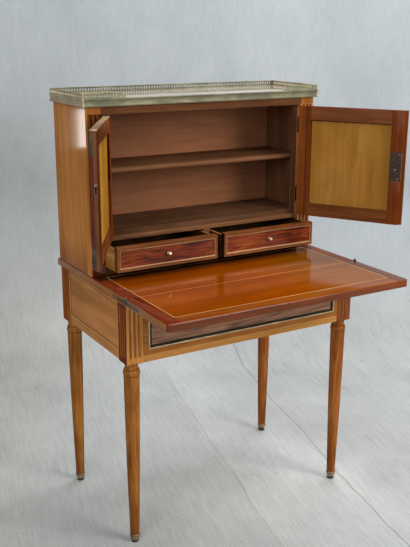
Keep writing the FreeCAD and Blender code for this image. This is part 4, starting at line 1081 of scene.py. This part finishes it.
def make_doors():
    """Both doors, and the small metal on them, at its places on the closed doors."""
    for side in ("left", "right"):
        body = side + "_door"
        frame_wood, panel_wood = door_woods(side)
        board(body + "_frame", body, frame_wood, 0.8)
        plain_finish(body + "_panel", panel_wood)
        board(body + "_moulding", body, brass, 1.2)
        plain_finish(body + "_hinge_leaves", hinge_brass)
    plain_finish("left_door_strike", strike_iron)
    plain_finish("right_door_lock", iron)
    plain_finish("right_door_lock_bolt", iron)
    plates = [flush_bolt_plate(DOOR_HEAD_Z - 60.0, DOOR_HEAD_Z - 2.0),
              flush_bolt_plate(DOOR_FOOT_Z + 2.0, DOOR_FOOT_Z + 60.0)]
    finished(swung(joined(plates), "left"), "flush_bolt_plates", "left_door", blackened_brass)
    screws = [screw_head(x, DOOR_FACE_Y, z, (0, 1, 0)) for x, z in ((15.0, 1058.5), (17.0, 988.0))]
    finished(swung(joined(screws), "right"), "lock_screws", "right_door", brass)
    key_x, key_z = 26.5, 1014.0
    pin = eased(rod(2.2, (key_x, DOOR_FACE_Y - 1.0, key_z), (key_x, DOOR_FACE_Y + 1.3, key_z), 20), 0.4)
    finished(swung(pin, "right"), "lock_key_pin", "right_door", bright_steel)
    selvedge = eased(block((7.8, DOOR_FACE_Y - 9.0, 983.0), (8.8, DOOR_FACE_Y + 0.25, 1063.0)), 0.2, 1)
    cut(selvedge, [block((7.0, 121.2, 1039.7), (9.6, 125.8, 1054.3))])
    finished(swung(selvedge, "right"), "lock_selvedge", "right_door", brass_line)


# ================================================================ carcase boards
def make_carcase():
    """Every board of the table and the cabinet, and the metal and lines that lie in them."""
    boards = (("side_apron_left", "mahogany", mahogany_deep),
              ("side_apron_right", "mahogany", mahogany_deep),
              ("cabinet_side_left", "mahogany", mahogany_side),
              ("cabinet_side_right", "mahogany", mahogany_side),
              ("back_apron", "mahogany", mahogany_wide),
              ("front_lower_rail", "mahogany", rail_wood),
              ("front_upper_rail", "mahogany", mahogany_wide),
              ("cabinet_top_rail", "mahogany", top_rail_wood),
              ("small_drawer_rail", "mahogany", inside_wide),
              ("crowning_board", "polished_top", crown_wood),
              ("cabinet_back", "interior_wood", back_wood),
              ("cabinet_floor", "interior_wood", floor_wood),
              ("shelf", "interior_wood", inside_wide),
              ("shelf_battens", "interior_wood", inside_wide),
              ("cabinet_base", "interior_wood", plinth_wood),
              ("small_drawer_divider", "interior_wood", inside_upright),
              ("door_stops", "interior_wood", inside_upright))
    for node, slot, material in boards:
        board(node, "carcase", material)
    board("apron_mouldings", "carcase", light_line, 1.0)
    for node, material in (("long_drawer_runners", lining_deep),
                           ("table_top_stringing", light_line), ("flap_stringing", light_line),
                           ("flap_hinge_fixed_leaves", edge_brass), ("flap_hinge_leaves", edge_brass),
                           ("door_hinge_fixed_leaves", hinge_brass)):
        plain_finish(node, material)


def make_writing_surface():
    """Fixed top and flap, French polished to a shine: an orange field that mirrors the cabinet.

    The end bands are darker and the end edges pale with wear; a painted highlight lies on the seam and a
    painted shadow on the top under the drawers.
    The right end is left paler and yellower as a painted reflection of the wall: the wash gives the rest,
    up to 60 mm, its orange.
    """
    line_x = 341.0               # inlaid lines across the two ends
    field_front_y = -311.5
    # painted reflection: the right part keeps a paler, yellower tone, and the wash makes the rest orange
    orange_beside_reflection = ("X", 240.0, 60.0, "#FFD6FF")
    surface = wood("high_polished_mahogany_top", TOP_FIELD, "X", [
        ([("Y", FLAP_FRONT_Y - 8.0, field_front_y)], TOP_FRONT_BAND, "X"),
        ([("X", -BEYOND, -line_x)], TOP_BAND, "Y"),
        ([("X", line_x, BEYOND)], TOP_BAND_RIGHT, "Y"),
        ([("Y", 48.0, PLINTH_Y), ("X", -376.0, 372.0)], SHADOW_RIM_UNDER_DRAWERS, "X"),
        ([("Y", 60.0, PLINTH_Y), ("X", -376.0, 362.0)], SHADOW_UNDER_DRAWERS, "X"),
        ([("X", -BEYOND, -TOP_HALF_X + 0.8)], WORN_EDGE, "Y"),
        ([("X", TOP_HALF_X - 0.8, BEYOND)], WORN_EDGE, "Y"),
        ([("Y", FLAP_FRONT_Y - 8.0, FLAP_FRONT_Y + 0.6)], FRONT_EDGE, "X"),
        ([("Y", SEAM_Y - 1.0, SEAM_Y + 1.0), ("X", -line_x, line_x)], SEAM_HIGHLIGHT, "X"),
    ], polish=SHINING, figure_mm=70.0, soil=[orange_beside_reflection])
    board("table_top", "carcase", surface, 0.15)
    board("flap", "flap", surface, 0.15)


SCREW_STEPS = (18.0, 42.0, 66.0)    # millimetres from the seam


def make_hinge_screws():
    """Three screws in each leaf of the flap hinges, in the side edges of the top and the flap."""
    for name, body, way in (("fixed_hinge_screws", "carcase", 1), ("flap_hinge_screws", "flap", -1)):
        heads = []
        for side in (-1, 1):
            for step in SCREW_STEPS:
                heads.append(screw_head(side * TOP_HALF_X, SEAM_Y + way * step, EDGE_MIDDLE_Z, (side, 0, 0)))
        finished(joined(heads), name, body, edge_brass)


# ================================================================ room, light and camera
CAMERA_PLACE = (-1.2828, -2.0379, 1.4231)
CAMERA_YAW = 0.5361
CAMERA_PITCH = 0.2829
CAMERA_ROLL = 0.0043
CAMERA_LENS = 75.27           # on a sensor 36 mm wide
WALL_GREY = "#CDD0D2"
WALL_STRENGTH = 0.56


def make_camera():
    """Camera at eye height, in front of the left corner, looking down on the writing surface."""
    data = bpy.data.cameras.new("camera")
    data.sensor_fit = "HORIZONTAL"
    data.sensor_width = 36.0
    data.lens = CAMERA_LENS
    data.clip_end = 50.0
    camera = bpy.data.objects.new("camera", data)
    bpy.context.scene.collection.objects.link(camera)
    yaw, pitch = CAMERA_YAW, CAMERA_PITCH
    ahead = Vector((math.sin(yaw) * math.cos(pitch), math.cos(yaw) * math.cos(pitch), -math.sin(pitch)))
    level = Vector((math.cos(yaw), -math.sin(yaw), 0.0))
    above = level.cross(ahead)
    right = level * math.cos(CAMERA_ROLL) + above * math.sin(CAMERA_ROLL)
    up = above * math.cos(CAMERA_ROLL) - level * math.sin(CAMERA_ROLL)
    turn = Matrix((right, up, -ahead)).transposed()
    camera.matrix_world = Matrix.Translation(CAMERA_PLACE) @ turn.to_4x4()
    bpy.context.scene.camera = camera


def make_room():
    """One sheet of cloth: floor, a wide curve, and the wall behind the desk."""
    half_width, near, far, bend, high = 12.0, -7.0, 0.9, 0.7, 3.8
    nothing_selected()
    bpy.ops.mesh.primitive_plane_add(size=1.0)
    cloth = bpy.context.object
    cloth.scale = (2 * half_width, far - near, 1.0)
    cloth.location = (0, (far + near) / 2, 0)
    settle(cloth)
    bpy.ops.object.mode_set(mode="EDIT")
    bpy.ops.mesh.select_mode(type="EDGE")
    bpy.ops.mesh.select_all(action="DESELECT")
    bpy.ops.object.mode_set(mode="OBJECT")
    for edge in cloth.data.edges:
        edge.select = all(abs(cloth.data.vertices[v].co.y - far) < 1e-4 for v in edge.vertices)
    bpy.ops.object.mode_set(mode="EDIT")
    steps = 16
    y, z = far, 0.0
    for k in range(1, steps + 1):
        a = math.pi / 2 * k / steps
        next_y, next_z = far + bend * math.sin(a), bend * (1 - math.cos(a))
        step = (0, next_y - y, next_z - z)
        bpy.ops.mesh.extrude_region_move(TRANSFORM_OT_translate={"value": step})
        y, z = next_y, next_z
    bpy.ops.mesh.extrude_region_move(TRANSFORM_OT_translate={"value": (0, 0, high - z)})
    bpy.ops.object.mode_set(mode="OBJECT")
    cloth.rotation_euler = (0, 0, -CAMERA_YAW)
    settle(cloth)
    cloth.name = "studio_cloth"
    cloth.data.materials.append(studio_cloth("studio_cloth", CAMERA_YAW))
    only(cloth)
    bpy.ops.object.shade_smooth_by_angle(angle=math.radians(30))
    nothing_selected()


def area_lamp(name, place, target, size, power, colour="#FFFFFF"):
    """A soft box at a place, turned to a target; place and size in metres, power in watts."""
    data = bpy.data.lights.new(name, "AREA")
    data.shape = "RECTANGLE"
    data.size, data.size_y = size
    data.energy = power
    data.color = linear(colour)[:3]
    lamp = bpy.data.objects.new(name, data)
    lamp.location = place
    lamp.rotation_euler = (Vector(target) - Vector(place)).to_track_quat("-Z", "Y").to_euler()
    bpy.context.scene.collection.objects.link(lamp)


def make_light():
    """Two large soft boxes in front, two overhead, and a narrow window that shines on the left side."""
    middle = (0.0, 0.1, 0.85)
    area_lamp("soft_box_right", (1.9, -3.2, 2.3), middle, (1.8, 1.8), 112.0, "#FFFDF8")
    area_lamp("soft_box_left", (-2.6, -2.3, 2.1), middle, (1.8, 1.8), 50.0, "#FFFDFA")
    area_lamp("ceiling_soft_box", (0.2, -0.3, 3.4), (0, 0, 0.0), (2.6, 2.6), 30.0)
    area_lamp("background_lamp", (1.0, 0.6, 3.4), (0.2, 0.3, 0.0), (1.4, 1.4), 60.0)
    area_lamp("window_left", (-1.264, 2.245, 0.888), (-0.380, 0.127, 1.153), (0.034, 0.20), 0.62)
    world = bpy.data.worlds.new("studio")
    world.use_nodes = True
    background = world.node_tree.nodes["Background"]
    background.inputs["Color"].default_value = linear(WALL_GREY)
    background.inputs["Strength"].default_value = WALL_STRENGTH
    bpy.context.scene.world = world


# ================================================================ everything
make_camera()
make_room()
make_light()
make_legs()
make_pilasters()
make_band()
make_gallery()
make_knobs()
make_small_drawers()
make_long_drawer()
make_doors()
make_carcase()
make_writing_surface()
make_hinge_screws()

bpy.context.scene.view_settings.view_transform = "Standard"
